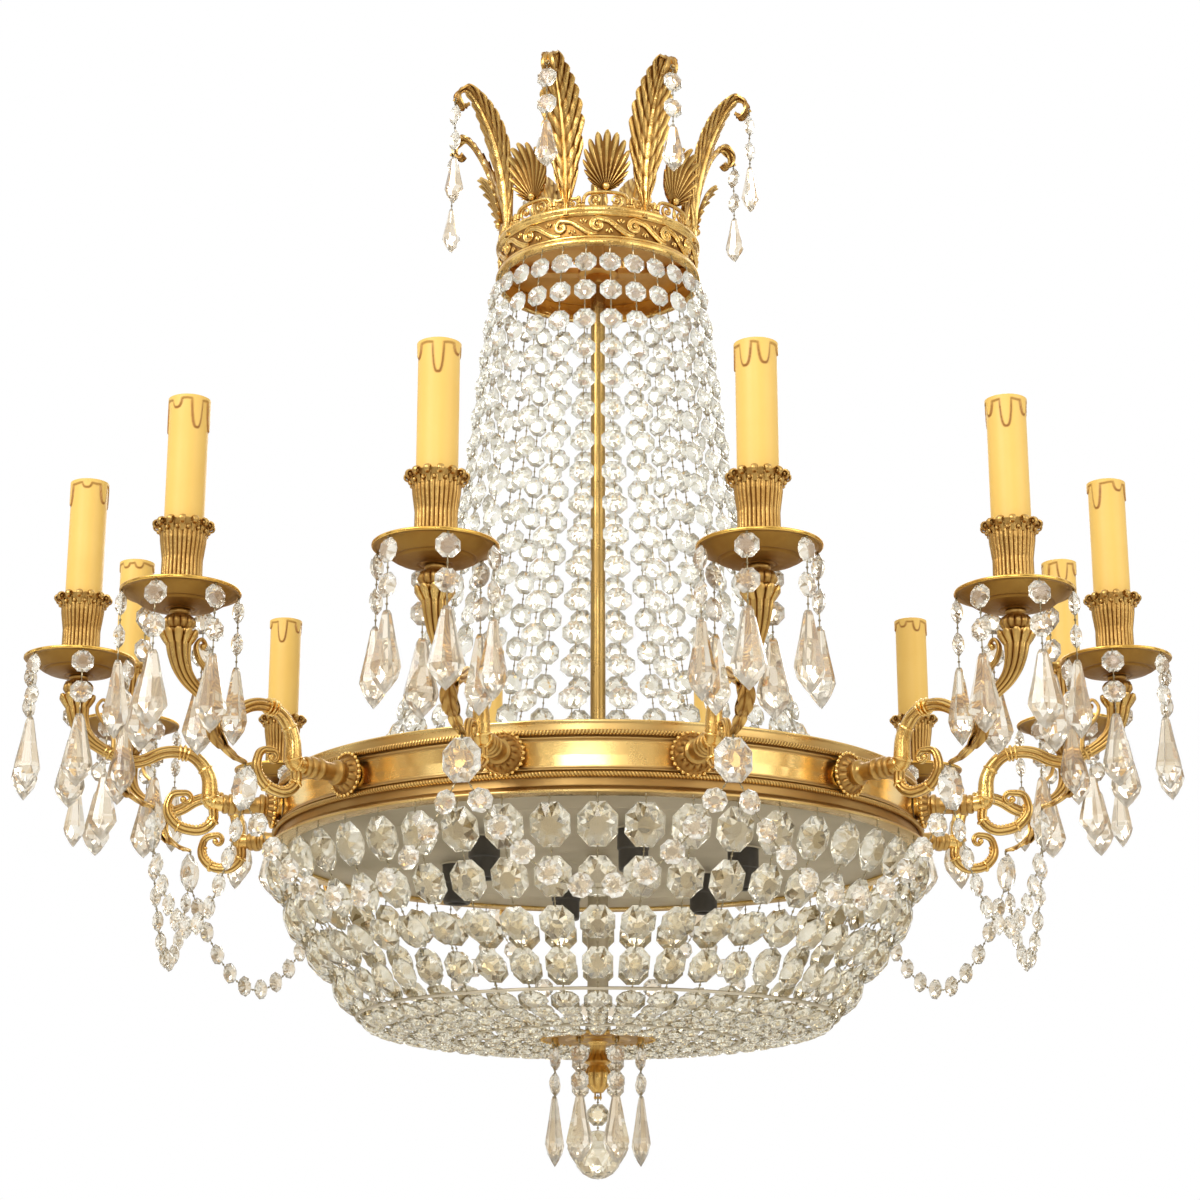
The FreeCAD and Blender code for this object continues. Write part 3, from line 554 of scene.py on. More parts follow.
def stemSleeve(spec):
    low, top, r, groove = spec["bottom"], spec["sleeveTop"], spec["sleeveRadius"], spec["sleeveRadius"] - 0.6
    profile = [(stemHole, low), (r, low), (r, low + 6), (groove, low + 7), (groove, low + 12), (r, low + 13),
               (r, top - 13), (groove, top - 12), (groove, top - 7), (r, top - 6), (r, top), (stemHole, top)]
    return lathe(profile, 36, 0.3)


def hexNut(low, height, acrossFlats):
    angles, high, sink = ringAngles(48), low + height, stemHole + 0.6
    flat = acrossFlats / 2 / np.cos((angles + math.pi / 6) % (math.pi / 3) - math.pi / 6)
    rounded = np.minimum(flat, acrossFlats / 2 * 1.06)
    outline = [(stemHole, low + 0.5), (sink, low), (rounded, low), (flat, low + 1.2), (flat, high - 1.2),
               (rounded, high), (sink, high), (stemHole, high - 0.5)]
    return sheet(np.array([aboutAxis(radius, angles, z) for radius, z in outline]), ring=True)


crownSpec = {"radius": 81.0, "wall": 3.0, "top": -83.0, "height": 32.0, "rim": 84.0, "turn": 4.5,
             "spiderZ": -104.0, "coverIn": 25.5, "coverLow": -101.0, "coverThick": 1.5}
ringSpec = {"radius": 246.0, "wall": 3.0, "top": -541.0, "height": 52.0, "flangeOut": 7.0, "flangeIn": 4.0,
            "flangeHeight": 2.0, "rope": 2.0, "ropeGap": 0.15, "ropeTurns": 640, "lipTop": 7.5,
            "lipBottom": 11.3, "spiderZ": -555.5,
            "paintedShades": [(0.0, 0.35), (5.0, 0.45), (6.0, 0.75), (15.9, 0.8), (17.0, 0.55), (18.2, 0.85),
                       (20.2, 0.0), (35.8, 0.0), (37.8, 0.85), (39.0, 0.5), (40.0, 0.7), (49.4, 0.3),
                       (51.0, 0.1), (52.0, 0.0)]}  # how dark each height over the band's foot is painted: shade and dark reflection, most round the ropes and over the lower moulding
crownIn, ringIn = crownSpec["radius"] - crownSpec["wall"], ringSpec["radius"] - ringSpec["wall"]
ringLow = ringSpec["top"] - ringSpec["height"]
spiderSpec = {"hub": 17.0, "hubHeight": 12.0, "barWidth": 9.0, "barHeight": 6.0, "bars": 4, "nut": 22.0,
              "nutHeight": 7.0}

giltPiece("threaded_stem", threadedStem(stemSpec), "stem", stemBrass)
giltPiece("stem_sleeve", stemSleeve(stemSpec), "stem_sleeve", dullPlate)
nuts = []
for middle in (crownSpec["spiderZ"], ringSpec["spiderZ"]):
    halfHub, nutHeight = spiderSpec["hubHeight"] / 2, spiderSpec["nutHeight"]
    for low in (middle + halfHub, middle - halfHub - nutHeight):
        nuts.append(hexNut(low, nutHeight, spiderSpec["nut"]))
giltPiece("stem_nuts", gather(nuts), "stem_nuts", shadedBrass)


def softBar(length, width, height, start, z):  # a flat bar along X with eased edges and two rivet heads
    w, h, e = width / 2, height / 2, 0.9
    section = [(-w + e, -h), (w - e, -h), (w, -h + e), (w, h - e), (w - e, h), (-w + e, h), (-w, h - e),
               (-w, -h + e)]
    rows = np.array([[[x, y, z + up] for y, up in section] for x in (start, start + 0.01, start + length)])
    rivets = [pearl((start + x, 0, z + h), 2.2, 12, 6, 0.6) for x in (7.0, length - 7.0)]
    return gather([sheet(rows, caps=True)] + rivets)


def spider(spec, z, reach):
    r, h, inset = spec["hub"], spec["hubHeight"] / 2, 1.0
    hub = lathe([(stemHole, z - h), (r * 0.8, z - h), (r, z - h + 3), (r, z + h - 3), (r * 0.8, z + h),
                 (stemHole, z + h)], 40, 0.8)
    bar = softBar(reach - r + inset, spec["barWidth"], spec["barHeight"], r - inset, z)
    return gather([hub, around(bar, spec["bars"])])


def crownCover(spec):
    hole, edge, low = spec["coverIn"], crownIn - 0.4, spec["coverLow"]
    top = low + spec["coverThick"]
    return lathe([(hole, low), (hole + 3, low), (hole + 4, low - 0.5), (hole + 5, low), (crownIn - 4, low),
                  (edge, low), (edge, top), (hole, top)], 96, 0.3)


barGap = 0.5
crownSpider = spider(spiderSpec, crownSpec["spiderZ"], crownIn - barGap)
giltPiece("crown_spider", gather([crownSpider, crownCover(crownSpec)]), "crown_spider", shadedBrass)
giltPiece("ring_spider", spider(spiderSpec, ringSpec["spiderZ"], ringIn - barGap), "ring_spider", shadedBrass)
print("stem and spiders done")


# Crown: band with a running scroll, openwork cresting, plumes and palmettes

waveSpec = {"count": 17, "ribbon": 1.9, "swirl": 5.6, "middle": -98.1}


def crownBand(spec):
    top, low = spec["top"], spec["top"] - spec["height"]
    r, rim = spec["radius"], spec["rim"]
    profile = [
        (crownIn, top), (rim, top), (rim + 0.3, top - 1.5), (rim, top - 3.2), (r + 1.5, top - 4.2),
        (r + 1.7, top - 5.4), (r + 0.6, top - 6.4), (r - 0.4, top - 7.2), (r - 0.4, low + 8.4),
        (r + 1.2, low + 7.6), (r + 1.2, low + 6.4), (r + 1.8, low + 5.4), (rim - 0.2, low + 4.4),
        (rim + 0.4, low + 2.2), (rim, low), (crownIn, low)]
    points, faces, marks = lathe(profile, 160, 0.5)
    # the sunk ground behind the scroll is darkened, as painted shade
    field = (points[:, 2] < top - 6.8) & (points[:, 2] > low + 8.0)
    return points, faces, np.where(field, 0.8, marks)


def runningScroll(spec, radius):
    # A ribbon with raised edges that coils and runs on to the next coil, and sprigs in the corners it leaves.
    period = 2 * math.pi * radius / spec["count"]
    swirl = spec["swirl"]
    curl = []
    for i in range(46):
        share = i / 45
        a = math.radians(90 + 420 * (1 - share))
        reach = swirl * (0.14 + 0.86 * share ** 0.9)
        curl.append((reach * math.cos(a), reach * math.sin(a)))
    tail = smoothPath([(0, swirl), (0.3 * period, 0.55 * swirl), (0.55 * period, -0.45 * swirl),
                       (0.8 * period, -1.25 * swirl), (0.98 * period, -1.32 * swirl)], 8)
    line = np.vstack([np.array(curl), tail[1:]])
    sideways = headings(line)[:, ::-1] * [-1, 1]
    widths = sized([(0, 0.3), (0.12, 0.6), (0.5, 1.0), (0.9, 1.1), (1, 0.5)], len(line), spec["ribbon"])
    shapes = [pearl((0, 0.6, 0), 1.6, 10, 6)]
    path = np.stack([line[:, 0], np.full(len(line), 0.1), line[:, 1]], axis=1)
    shapes.append(tube(path, widths, 10, flat=0.42))
    for side in (-1, 1):
        edge = line + sideways * widths[:, None] * 0.75 * side
        path = np.stack([edge[:, 0], np.full(len(line), 0.75), edge[:, 1]], axis=1)
        shapes.append(tube(path, 0.34 * widths + 0.12, 8))
    for x, z, tilt in ((0.62, 0.74, 1), (0.30, -0.95, -1)):
        for lean in (-1, 0, 1):
            centre = np.array([x * period + 1.9 * lean, 0.3, z * swirl + tilt * (0.5 if lean == 0 else -0.6)])
            away = np.array([0.9 * lean, 0.0, 1.7 * tilt])
            shapes.append(tube([centre - away, centre - 0.4 * away, centre + 0.5 * away, centre + away],
                               [0.3, 0.85, 0.8, 0.15], 8))
    return around(onBand(shifted(gather(shapes), 0, 0, spec["middle"]), radius), spec["count"])


# the brackets are darkened all over by their mark, as painted shade in their hollows
bracketSpec = {"half": 18.0, "height": 15.0, "curl": 5.0, "apart": 8.2, "shadeMark": 0.25}
smallBracketSpec = {"half": 10.5, "height": 10.5, "curl": 3.9, "apart": 5.0}


def openBracket(spec, radius, base):
    # Two coils back to back between a foot and a light rail, with open corners.
    half, high, middle = spec["half"], spec["height"], 0.45 * spec["height"]
    rail = smoothPath([(-half, 4.5), (-0.95 * half, 9.5), (-0.72 * half, high - 2.2), (0, high - 1.3),
                       (0.72 * half, high - 2.2), (0.95 * half, 9.5), (half, 4.5)], 6)
    shapes = [tube([(x, 0.3, z) for x, z in rail], 1.5, 10, flat=1.2),
              tube([(x, 0.0, 1.0) for x in np.linspace(-half, half, 12)], 1.3, 8, flat=1.3)]
    for side in (-1, 1):
        coil = []
        for i in range(40):
            share = i / 39
            a = math.radians(-80 + 480 * share)
            reach = spec["curl"] * (1.12 - 0.9 * share)
            coil.append((side * (spec["apart"] + reach * math.cos(a)), 0.5, middle + reach * math.sin(a)))
        shapes.append(tube(coil, np.linspace(1.25, 0.7, 40), 8, flat=1.1))
        shapes.append(pearl((side * spec["apart"], 0.9, middle), 1.4, 10, 6))
        shapes.append(pearl((side * (half + 0.2), 0.3, 2.6), 2.0, 10, 6))
    bud = [(0, 0.6, 1.5), (0, 1.0, 5), (0, 0.9, 9), (0, 0.4, high - 2)]
    shapes.append(tube(bud, [0.8, 1.9, 1.4, 0.6], 10))
    return onBand(shifted(gather(shapes), 0, 0, base), radius)


plumeSpec = {"count": 8, "width": 37.0, "thick": 1.7, "lobes": 11, "serration": 0.34, "sweep": 2.0,
             "flutes": 7, "relief": 2.3, "back": 0.75, "cup": 0.2, "rows": 170, "columns": 33,
             "widths": [0.25, 0.8, 1.0, 0.97, 0.87, 0.7, 0.5, 0.34, 0.3, 0.25], "hookR": 127.5, "hookZ": 22.0}
palmetteSpec = {"thick": 1.5, "lobes": 17, "notch": 0.2, "spread": 84.0, "slimness": 1.29,
                "relief": 2.2, "back": 0.8, "curl": 1.2, "rows": 26, "columns": 171}


def crownPlume(spec, r, top):  # blade, the hook that its string hangs on, and a fluted stalk
    path = [(r, top), (r + 2, top + 23), (r + 7, top + 52), (r + 16, top + 82), (r + 28, top + 106),
            (r + 38, top + 117), (r + 45.5, top + 114), (r + 47, top + 106), (r + 43, top + 101),
            (r + 39, top + 103.5)]
    blade = leafBlade(path, [spec["width"] * share for share in spec["widths"]], spec)
    hook = [(spec["hookR"] + out, spec["hookZ"] + up) for out, up in ((-1.9, 0), (0, 0), (4, 0), (4.8, 0.4))]
    foot = smoothPath([(r, top - 6), (r + 0.5, top + 8), (r + 3.4, top + 26)], 6)
    stalk = tube(upright(foot), np.linspace(4.2, 0.6, len(foot)), 12, lobes=6, depth=0.22, flat=0.8)
    return gather([blade, tube(upright(hook), [1.0, 1.0, 1.0, 1.25], 12), stalk])


def crownPalmette(spec, r, z):
    path = [(r, z), (r + 2, z + 10), (r + 5, z + 21), (r + 9, z + 32), (r + 15, z + 41), (r + 19, z + 45)]
    return gather([fanBlade(path, spec), pearl((r + 2.2, 0, z + 3.0), 3.2, 14, 8)])


crownR, crownTop, crownTurn = crownSpec["radius"], crownSpec["top"], crownSpec["turn"]
plumes, halfPitch, bracketR = plumeSpec["count"], 180.0 / plumeSpec["count"], crownR - 1
plume = crownPlume(plumeSpec, crownR, crownTop)
palmette = crownPalmette(palmetteSpec, bracketR, crownTop + bracketSpec["height"])
cresting = gather([openBracket(bracketSpec, bracketR, crownTop),
                   turned(openBracket(smallBracketSpec, bracketR, crownTop), halfPitch)])
giltPiece("crown_band", gather([crownBand(crownSpec), runningScroll(waveSpec, crownR)]), "crown_band")
giltPiece("crown_plumes", around(plume, plumes, front + crownTurn + halfPitch), "crown_plumes")
giltPiece("crown_palmettes", around(palmette, plumes, front + crownTurn), "crown_palmettes")
giltPiece("crown_brackets", around(shadedOver(cresting, bracketSpec["shadeMark"]), plumes, crownTurn), "crown_crest")
print("crown done")


# Wire hoops, main ring and its ropes

def wireHoop(radius, wire, z):
    a, b = ringAngles(240)[:, None], ringAngles(10)
    return sheet(aboutAxis(radius + wire * np.cos(b), a, z + wire * np.sin(b)), ring=True)


def twistedRope(radius, wire, z, turns, slant):
    a, b = ringAngles(turns * 6)[:, None], ringAngles(10)
    wave = np.abs(np.cos(b - slant * turns * a / 2))
    reach = wire * (0.74 + 0.26 * wave)
    rows = aboutAxis(radius + reach * np.cos(b), a, z + reach * np.sin(b))
    # the gaps between the strands are marked dark, as painted shade
    return sheet(rows, np.clip(2.4 * (1 - wave) - 0.15, 0, 1), ring=True)


def ringBand(spec):
    r, top, low, thick = spec["radius"], spec["top"], ringLow, spec["flangeHeight"]
    out, flange = r + spec["flangeOut"], ringIn - spec["flangeIn"]
    profile = [
        (flange, top), (r + 0.2, top), (r + 0.6, top - 1.2), (r, top - 2.6), (r, top - 12.0),
        (r + 1.3, top - 12.6), (r + 1.3, top - 13.4), (r + 0.1, top - 14.2), (r, top - 16.2),
        (r - 0.5, top - 25), (r, low + 20.2), (r + 0.1, low + 18.2), (r + 1.3, low + 17.5),
        (r + 1.3, low + 16.6), (r, low + 16.0), (r, low + 6.0), (r + 1.5, low + 4.4),
        (out - 0.6, low + 2.2), (out, low + 1.4), (out, low + 0.4), (out - 0.8, low), (flange, low),
        (flange, low + thick), (ringIn, low + thick), (ringIn, top - thick), (flange, top - thick)]
    points, faces, marks = lathe(profile, 288, 0.5)
    # the outside of the band is darkened by height, as painted shade and dark reflection
    heights, paintedShades = zip(*[(low + at, shade) for at, shade in spec["paintedShades"]])
    outer = np.hypot(points[:, 0], points[:, 1]) > r - 1.0
    return points, faces, np.where(outer, np.interp(points[:, 2], heights, paintedShades), marks)


hoopSpec = {"tent": (186.0, 2.2, -550.0), "corner": (182.0, 1.2, -716.0), "inner": (107.0, 1.2, -732.0)}
ropeHeights = [ringSpec["top"] - ringSpec["lipTop"] - ringSpec["rope"],
               ringLow + ringSpec["lipBottom"] + ringSpec["rope"]]
ropeRadius = ringSpec["radius"] + ringSpec["rope"] + ringSpec["ropeGap"]
ropes = [twistedRope(ropeRadius, ringSpec["rope"], z, ringSpec["ropeTurns"], slant)
         for z, slant in zip(ropeHeights, (1, -1))]
giltPiece("main_ring", ringBand(ringSpec), "ring_band", giltPolished)
giltPiece("rope_mouldings", gather(ropes), "ring_ropes")
giltPiece("tent_hoop", wireHoop(*hoopSpec["tent"]), "tent_hoop", shadedBrass)
giltPiece("basket_hoops", gather([wireHoop(*hoopSpec[name]) for name in ("corner", "inner")]), "basket_hoops",
          dullPlate)
print("ring done")


# Arms: boss with a ribbed disc, scrolled casting with a volute and leaves, and a flared horn

# the marks here darken the boss disc, stub, leaf, shell and horn, as painted shade
armSpec = {"count": 12, "first": 15.0, "candleRing": 400.0, "bossRadius": 16.0, "neck": 6.5, "collar": 8.0,
           "bossLength": 44.0, "tube": 4.6, "volute": 3.6, "mouth": 11.0, "discShade": 0.78, "stubShade": 0.6,
           "leafShade": 0.3, "shellShade": 0.6, "hornShade": 0.35}
bossZ = (ropeHeights[0] + ropeHeights[1]) / 2
bossFoot = ringSpec["radius"] + 0.3  # just off the band
bossFront = bossFoot + 2 * ringSpec["rope"]
bossEnd = ringSpec["radius"] + armSpec["bossLength"]


def armBoss(spec):
    r, neck, ring, out, end = spec["bossRadius"], spec["neck"], spec["collar"], bossFront, bossEnd
    foot = lathe([(0, bossFoot), (0.62 * r, bossFoot), (0.62 * r, out + 0.6), (0, out + 0.6)], 40, 0.3, False)
    disc = lathe([(0, out), (r - 1.5, out), (r - 0.6, out + 0.8), (r - 1.2, out + 2.2), (r - 3.2, out + 1.8),
                  (r - 4.2, out + 3.6), (0.62 * r, out + 6.2), (0.5 * r, out + 6.6), (0.48 * r, out + 4)],
                 96, 0.4, False, 12, 1.7,
                 [(out + 1.9, 0.0), (out + 3.4, 1.0), (out + 6.4, 0.9), (out + 7, 0.4)])
    stub = lathe([(0.5 * r, out + 3), (0.5 * r, out + 8), (neck + 2.4, out + 9), (neck + 2.4, out + 11.5),
                  (neck + 0.4, out + 12.5), (neck - 0.3, out + 15), (neck + 0.2, end - 16),
                  (ring - 0.4, end - 15), (ring - 0.1, end - 13), (neck + 0.3, end - 12), (neck, end - 10),
                  (ring - 0.3, end - 9), (ring, end - 7), (ring - 0.3, end - 5), (neck + 0.2, end - 4.4),
                  (ring - 0.8, end - 3), (ring - 0.8, end - 1.2), (neck - 0.4, end), (0, end)],
                 40, 0.35, False)
    beads = [pearl(((r - 0.9) * math.cos(a), (r - 0.9) * math.sin(a), out + 2.0), 1.55, 8, 5)
             for a in ringAngles(24)]
    parts = [foot, shadedOver(disc, spec["discShade"]), shadedOver(stub, spec["stubShade"])]
    return shifted(tipped(gather(parts + beads)), z=bossZ)


def roundedRun(points, bend, perBend=7):  # straight runs with rounded corners, as (r, z)
    corners = [np.array(p, float) for p in points]
    out = [corners[0]]
    for before, corner, after in zip(corners, corners[1:], corners[2:]):
        start, end = cornerEnds(before, corner, after, bend, 0.48)
        for t in np.linspace(0, 1, perBend):
            out.append((1 - t) ** 2 * start + 2 * t * (1 - t) * corner + t ** 2 * end)
    out.append(corners[-1])
    return evenPath(out, armSteps)[0]


def fromBoss(*places):  # (out, up) distances from the boss's end as (r, z)
    return [(bossEnd + out, bossZ + up) for out, up in places]


armSteps = 90
armPath = fromBoss((0, 0), (9, 0), (10, 22), (23, 37), (44, 38), (60, 29), (71, 27), (81, 32))
volutePath = fromBoss((7, 0), (5, -14), (15, -22), (32, -20), (42, -8), (38, 6), (27, 7))
voluteEye, voluteEnd = np.array(fromBoss((24, -7), (27, 2)), float)
armLeafSpec = {"thick": 1.5, "lobes": 4, "serration": 0.35, "sweep": 1.0, "flutes": 3, "relief": 1.3,
               "back": 0.75, "cup": 0.35, "rows": 60, "columns": 17}
shellSpec = dict(armLeafSpec, cup=0.5)


def scrollArm(spec):
    over = upright(roundedRun(armPath, 12.0))
    sizes = sized([(0, 1.2), (0.1, 1.38), (0.32, 1.12), (0.5, 1.0), (0.75, 1.05), (1, 0.95)], armSteps,
                  spec["tube"])
    flutes = sized([(0, 0.02), (0.3, 0.04), (0.42, 0.2), (1, 0.2)], armSteps, 1)
    shapes = [tube(over, sizes, 28, 7, flutes)]
    for share, size, thick in ((0.06, 1.5, 3.0), (0.10, 1.6, 2.2), (0.31, 1.3, 2.4), (0.47, 1.3, 2.2),
                               (0.50, 1.42, 2.4), (0.53, 1.3, 2.2), (0.90, 1.2, 1.8), (0.985, 1.15, 2.2)):
        shapes.append(collar(over, share, size * spec["tube"], thick))
    under, steps = list(roundedRun(volutePath, 9.0)), 110
    for i in range(1, 25):  # the volute's end curls in past the end of the solid
        a = math.radians(90 + 11 * i)
        under.append(voluteEnd + (5.0 - 3.2 * i / 24) * np.array([math.cos(a), math.sin(a)]))
    under = evenPath(under, steps)[0]
    sizes = sized([(0, 1.1), (0.5, 1.0), (0.8, 0.75), (1, 0.4)], steps, spec["volute"])
    shapes.append(tube(upright(under), sizes, 24, 6, 0.2))
    shapes.append(pearl((under[-1][0], 0, under[-1][1]), 2.5, 12, 8))
    for at in under[14:74:4]:  # pearls on the inner side of the volute
        spot = at + unit(voluteEye - at) * spec["volute"] * 0.98
        shapes.append(pearl((spot[0], 0, spot[1]), 1.5, 8, 5))
    for share, size, thick in ((0.14, 1.35, 2.4), (0.44, 1.3, 2.0)):
        shapes.append(collar(upright(under), share, size * spec["volute"], thick))
    leaf = fromBoss((64, 27), (72, 19), (71, 9), (62, 0), (50, -5))
    shell = fromBoss((79, 34), (79, 24), (77, 13), (71, 5), (65, 3))
    shapes.append(shadedOver(leafBlade(leaf, [7.7, 11, 10.45, 7.7, 4.4], armLeafSpec), spec["leafShade"]))
    shapes.append(shadedOver(leafBlade(shell, [6, 11, 13, 9, 3], shellSpec), spec["shellShade"]))
    return gather(shapes)


# the knop under the pan is darkened by its mark, as painted shade
panSpec = {"rim": -460.5, "radius": 41.0, "depth": 11.5, "thick": 2.5, "knop": 11.5, "knopHeight": 14.5,
           "flat": 3.0, "knopShade": 0.6}
panFloor = panSpec["rim"] - panSpec["depth"]
panFoot = panFloor - panSpec["thick"]
mouthZ = panFoot - panSpec["knopHeight"]


def flaredHorn(spec):
    before, tip = np.array(armPath[-2:], float)
    heading, ring, mouth = unit(tip - before), spec["candleRing"], spec["mouth"]
    start = tip + heading * 0.3
    a, b, c, d = start, start + heading * 24, np.array([ring, mouthZ - 28]), np.array([ring, mouthZ])
    t = np.linspace(0, 1, 70)[:, None]
    curve = upright((1 - t) ** 3 * a + 3 * t * (1 - t) ** 2 * b + 3 * t ** 2 * (1 - t) * c + t ** 3 * d)
    sizes = sized([(0, 0.37), (0.25, 0.43), (0.5, 0.55), (0.72, 0.7), (0.9, 0.84), (0.97, 1.0), (1, 0.96)],
                  len(curve), mouth)
    shapes = [tube(curve, sizes, 60, 10, 0.2), collar(curve, 0.05, 0.5 * mouth, 2.4),
              collar(curve, 0.1, 0.47 * mouth, 1.6)]
    petal = upright([(7.6, mouthZ - 9), (9.7, mouthZ - 5), (11.6, mouthZ - 1.6), (12.6, mouthZ + 0.1)])
    petal = tube(petal, [1.4, 2.1, 2.3, 1.1], 10, flat=1.3)  # its tip turns out at the mouth
    shapes.append(shifted(around(petal, 10, 18), ring))
    tendril = evenPath([(372, -531), (372.5, -520), (377, -511), (383, -505), (385.5, -497), (381.5, -491),
                        (377.5, -494.5), (380, -498)], 60)[0]  # on the inner side of the horn
    sizes = sized([(0, 2.2), (0.6, 1.6), (0.9, 1.2), (1, 1.0)], len(tendril), 1)
    shapes.append(tube(upright(tendril), sizes, 14, 4, 0.2, flat=1.6))
    shapes.append(pearl((379.6, 0, -496.0), 2.4, 10, 6))
    return shadedOver(gather(shapes), spec["hornShade"])


def onArms(shape):
    return around(shape, armSpec["count"], armSpec["first"])


giltPiece("arm_bosses", onArms(armBoss(armSpec)), "arm_bosses")
giltPiece("scroll_arms", onArms(scrollArm(armSpec)), "arm_castings")
giltPiece("flared_horns", onArms(flaredHorn(armSpec)), "arm_horns")
print("arms done")


# Candles: knop, drip pan, leaf cup, lampholder and sleeve

def gadroonedKnop(spec):
    r, low, high, tall = spec["knop"], mouthZ, panFoot, spec["knopHeight"]
    profile = [(0, low), (0.62 * r, low), (0.8 * r, low + 1.2), (r, low + 0.34 * tall),
               (0.97 * r, low + 0.5 * tall), (0.8 * r, low + 0.68 * tall), (0.52 * r, low + 0.78 * tall),
               (0.62 * r, low + 0.86 * tall), (0.62 * r, high - 0.4), (0.5 * r, high), (0, high)]
    return lathe(profile, 72, 0.5, False, 12, 2.0,
                 [(low, 0.3), (low + 3, 1.0), (low + 8, 1.0), (low + 10.4, 0.2), (low + 11.4, 0.0)])


def dripPan(spec):
    r, rim, low, floor = spec["radius"], spec["rim"], panFoot, panFloor
    under, ledge = rim - spec["thick"], r - spec["flat"]
    rise = 0.25 * spec["depth"]
    profile = [
        (0, low), (9, low), (10.5, low + 0.9), (12, low + 0.5), (0.42 * r, low + 1.3), (0.6 * r, low + rise),
        (0.64 * r, low + rise + 1.6), (0.67 * r, low + rise + 1.5), (ledge - 1.4, under - 0.7),
        (ledge, under), (r - 0.5, under), (r + 0.1, under + 0.8), (r, rim - 0.5), (r - 0.9, rim),
        (ledge, rim - 0.5),
        (0.64 * r, floor + rise + 0.8), (0.6 * r, floor + rise), (11, floor + 0.4), (9, floor), (0, floor)]
    points, faces, marks = lathe(profile, 84, 0.5, False)
    reach = np.hypot(points[:, 0], points[:, 1])
    shade = np.clip(1.25 - 0.5 * reach / r, 0.0, 0.97)  # painted shade and dark reflection under the pan, deepest round the foot
    middle = np.interp(reach, [0, 0.6 * r, ledge, r], [low + 2, low + rise + 1.5, under + 0.2, under])
    return points, faces, np.where(points[:, 2] < middle, shade, marks)


# the cup is darkened by its mark, as painted shade
cupSpec = {"rim": -412.0, "rimRadius": 20.0, "seatDepth": 14.0, "hole": 14.3, "tips": 14, "flutes": 28,
           "loop": 2.4, "bud": 1.5, "shadeMark": 0.55}
cupSeat = cupSpec["rim"] - cupSpec["seatDepth"]


def leafCup(spec):
    rim, hole, big, low, seat = spec["rim"], spec["hole"], spec["rimRadius"], panFloor, cupSeat
    tall = rim - low
    profile = [
        (0, low), (7.5, low), (7.6, low + 0.05 * tall), (0.5 * big, low + 0.08 * tall),
        (0.68 * big, low + 0.14 * tall), (0.71 * big, low + 0.2 * tall), (0.7 * big, low + 0.55 * tall),
        (hole + 1.5, seat), (hole + 1.9, rim - 6), (hole + 2.9, rim - 2.6), (hole + 3.4, rim - 1.0),
        (hole + 1.2, rim - 0.6), (hole, rim - 3), (hole, seat), (0, seat)]
    fluted = [(low + 0.06 * tall, 0.0), (low + 0.16 * tall, 1.0), (seat - 0.5, 1.0), (seat + 0.2, 0.9),
              (rim - 6, 0.6), (rim - 4, 0.0)]
    points, faces, marks = lathe(profile, 140, 0.5, False, spec["flutes"], 1.1, fluted)
    reach = np.hypot(points[:, 0], points[:, 1])  # the seat and its wall stay round for the sleeve
    wall = (points[:, 2] > seat - 0.8) & (reach < hole + 0.2) & (reach > 1.0)
    points[wall, :2] *= (np.maximum(reach[wall], hole) / reach[wall])[:, None]
    tip = [(hole + 1.5, 0, rim - 10)]  # leaf tips curl over round the rim, with a bud in each and one between
    for a in np.radians(np.linspace(245, -120, 14)):
        tip.append((hole + 4.1 + spec["loop"] * math.cos(a), 0, rim - 3.0 + spec["loop"] * math.sin(a)))
    tip = tube(tip, np.interp(np.arange(len(tip)), [0, 3, 9, 14], [0.6, 1.0, 1.0, 0.4]), 10, flat=2.2)
    # each bud is painted fully dark, as shade inside its curl
    bud = shadedOver(pearl((hole + 4.1, 0, rim - 3.0), spec["bud"], 8, 5), 1.0)
    between = turned(pearl((hole + 2.6, 0, rim - 7.6), spec["bud"], 8, 5), 180.0 / spec["tips"])
    return gather([(points, faces, marks), around(gather([tip, bud, between]), spec["tips"])])


holderSpec = {"radius": 11.8, "length": 60.0, "rod": 5.0, "socket": 7.0, "socketDepth": 26.0, "top": -328.0}


def lampHolder(spec, rodLow):
    r, rod, s = spec["radius"], spec["rod"], spec["socket"]
    top, low, floor = spec["top"], spec["top"] - spec["length"], spec["top"] - spec["socketDepth"]
    ribs = []
    for i in range(7):
        ribs += [(s + 0.1, top - 3 - 3 * i), (s + 0.75, top - 4.5 - 3 * i)]
    profile = [(0, rodLow), (rod, rodLow), (rod, low - 3), (rod + 3, low), (r - 1.5, low), (r, low + 2),
               (r, top - 16), (r - 0.9, top - 15), (r - 0.9, top - 2), (r - 1.6, top), (s + 0.8, top),
               (s + 0.1, top - 1)]
    return lathe(profile + ribs + [(s, floor), (0, floor)], 48, 0.3, False)


candleSpec = {"radius": 14.0, "wall": 1.7, "top": -323.0, "low": -425.7, "drips": 6, "relief": 0.9,
              "arch": 3.4, "line": 0.95, "firstSeed": 40}


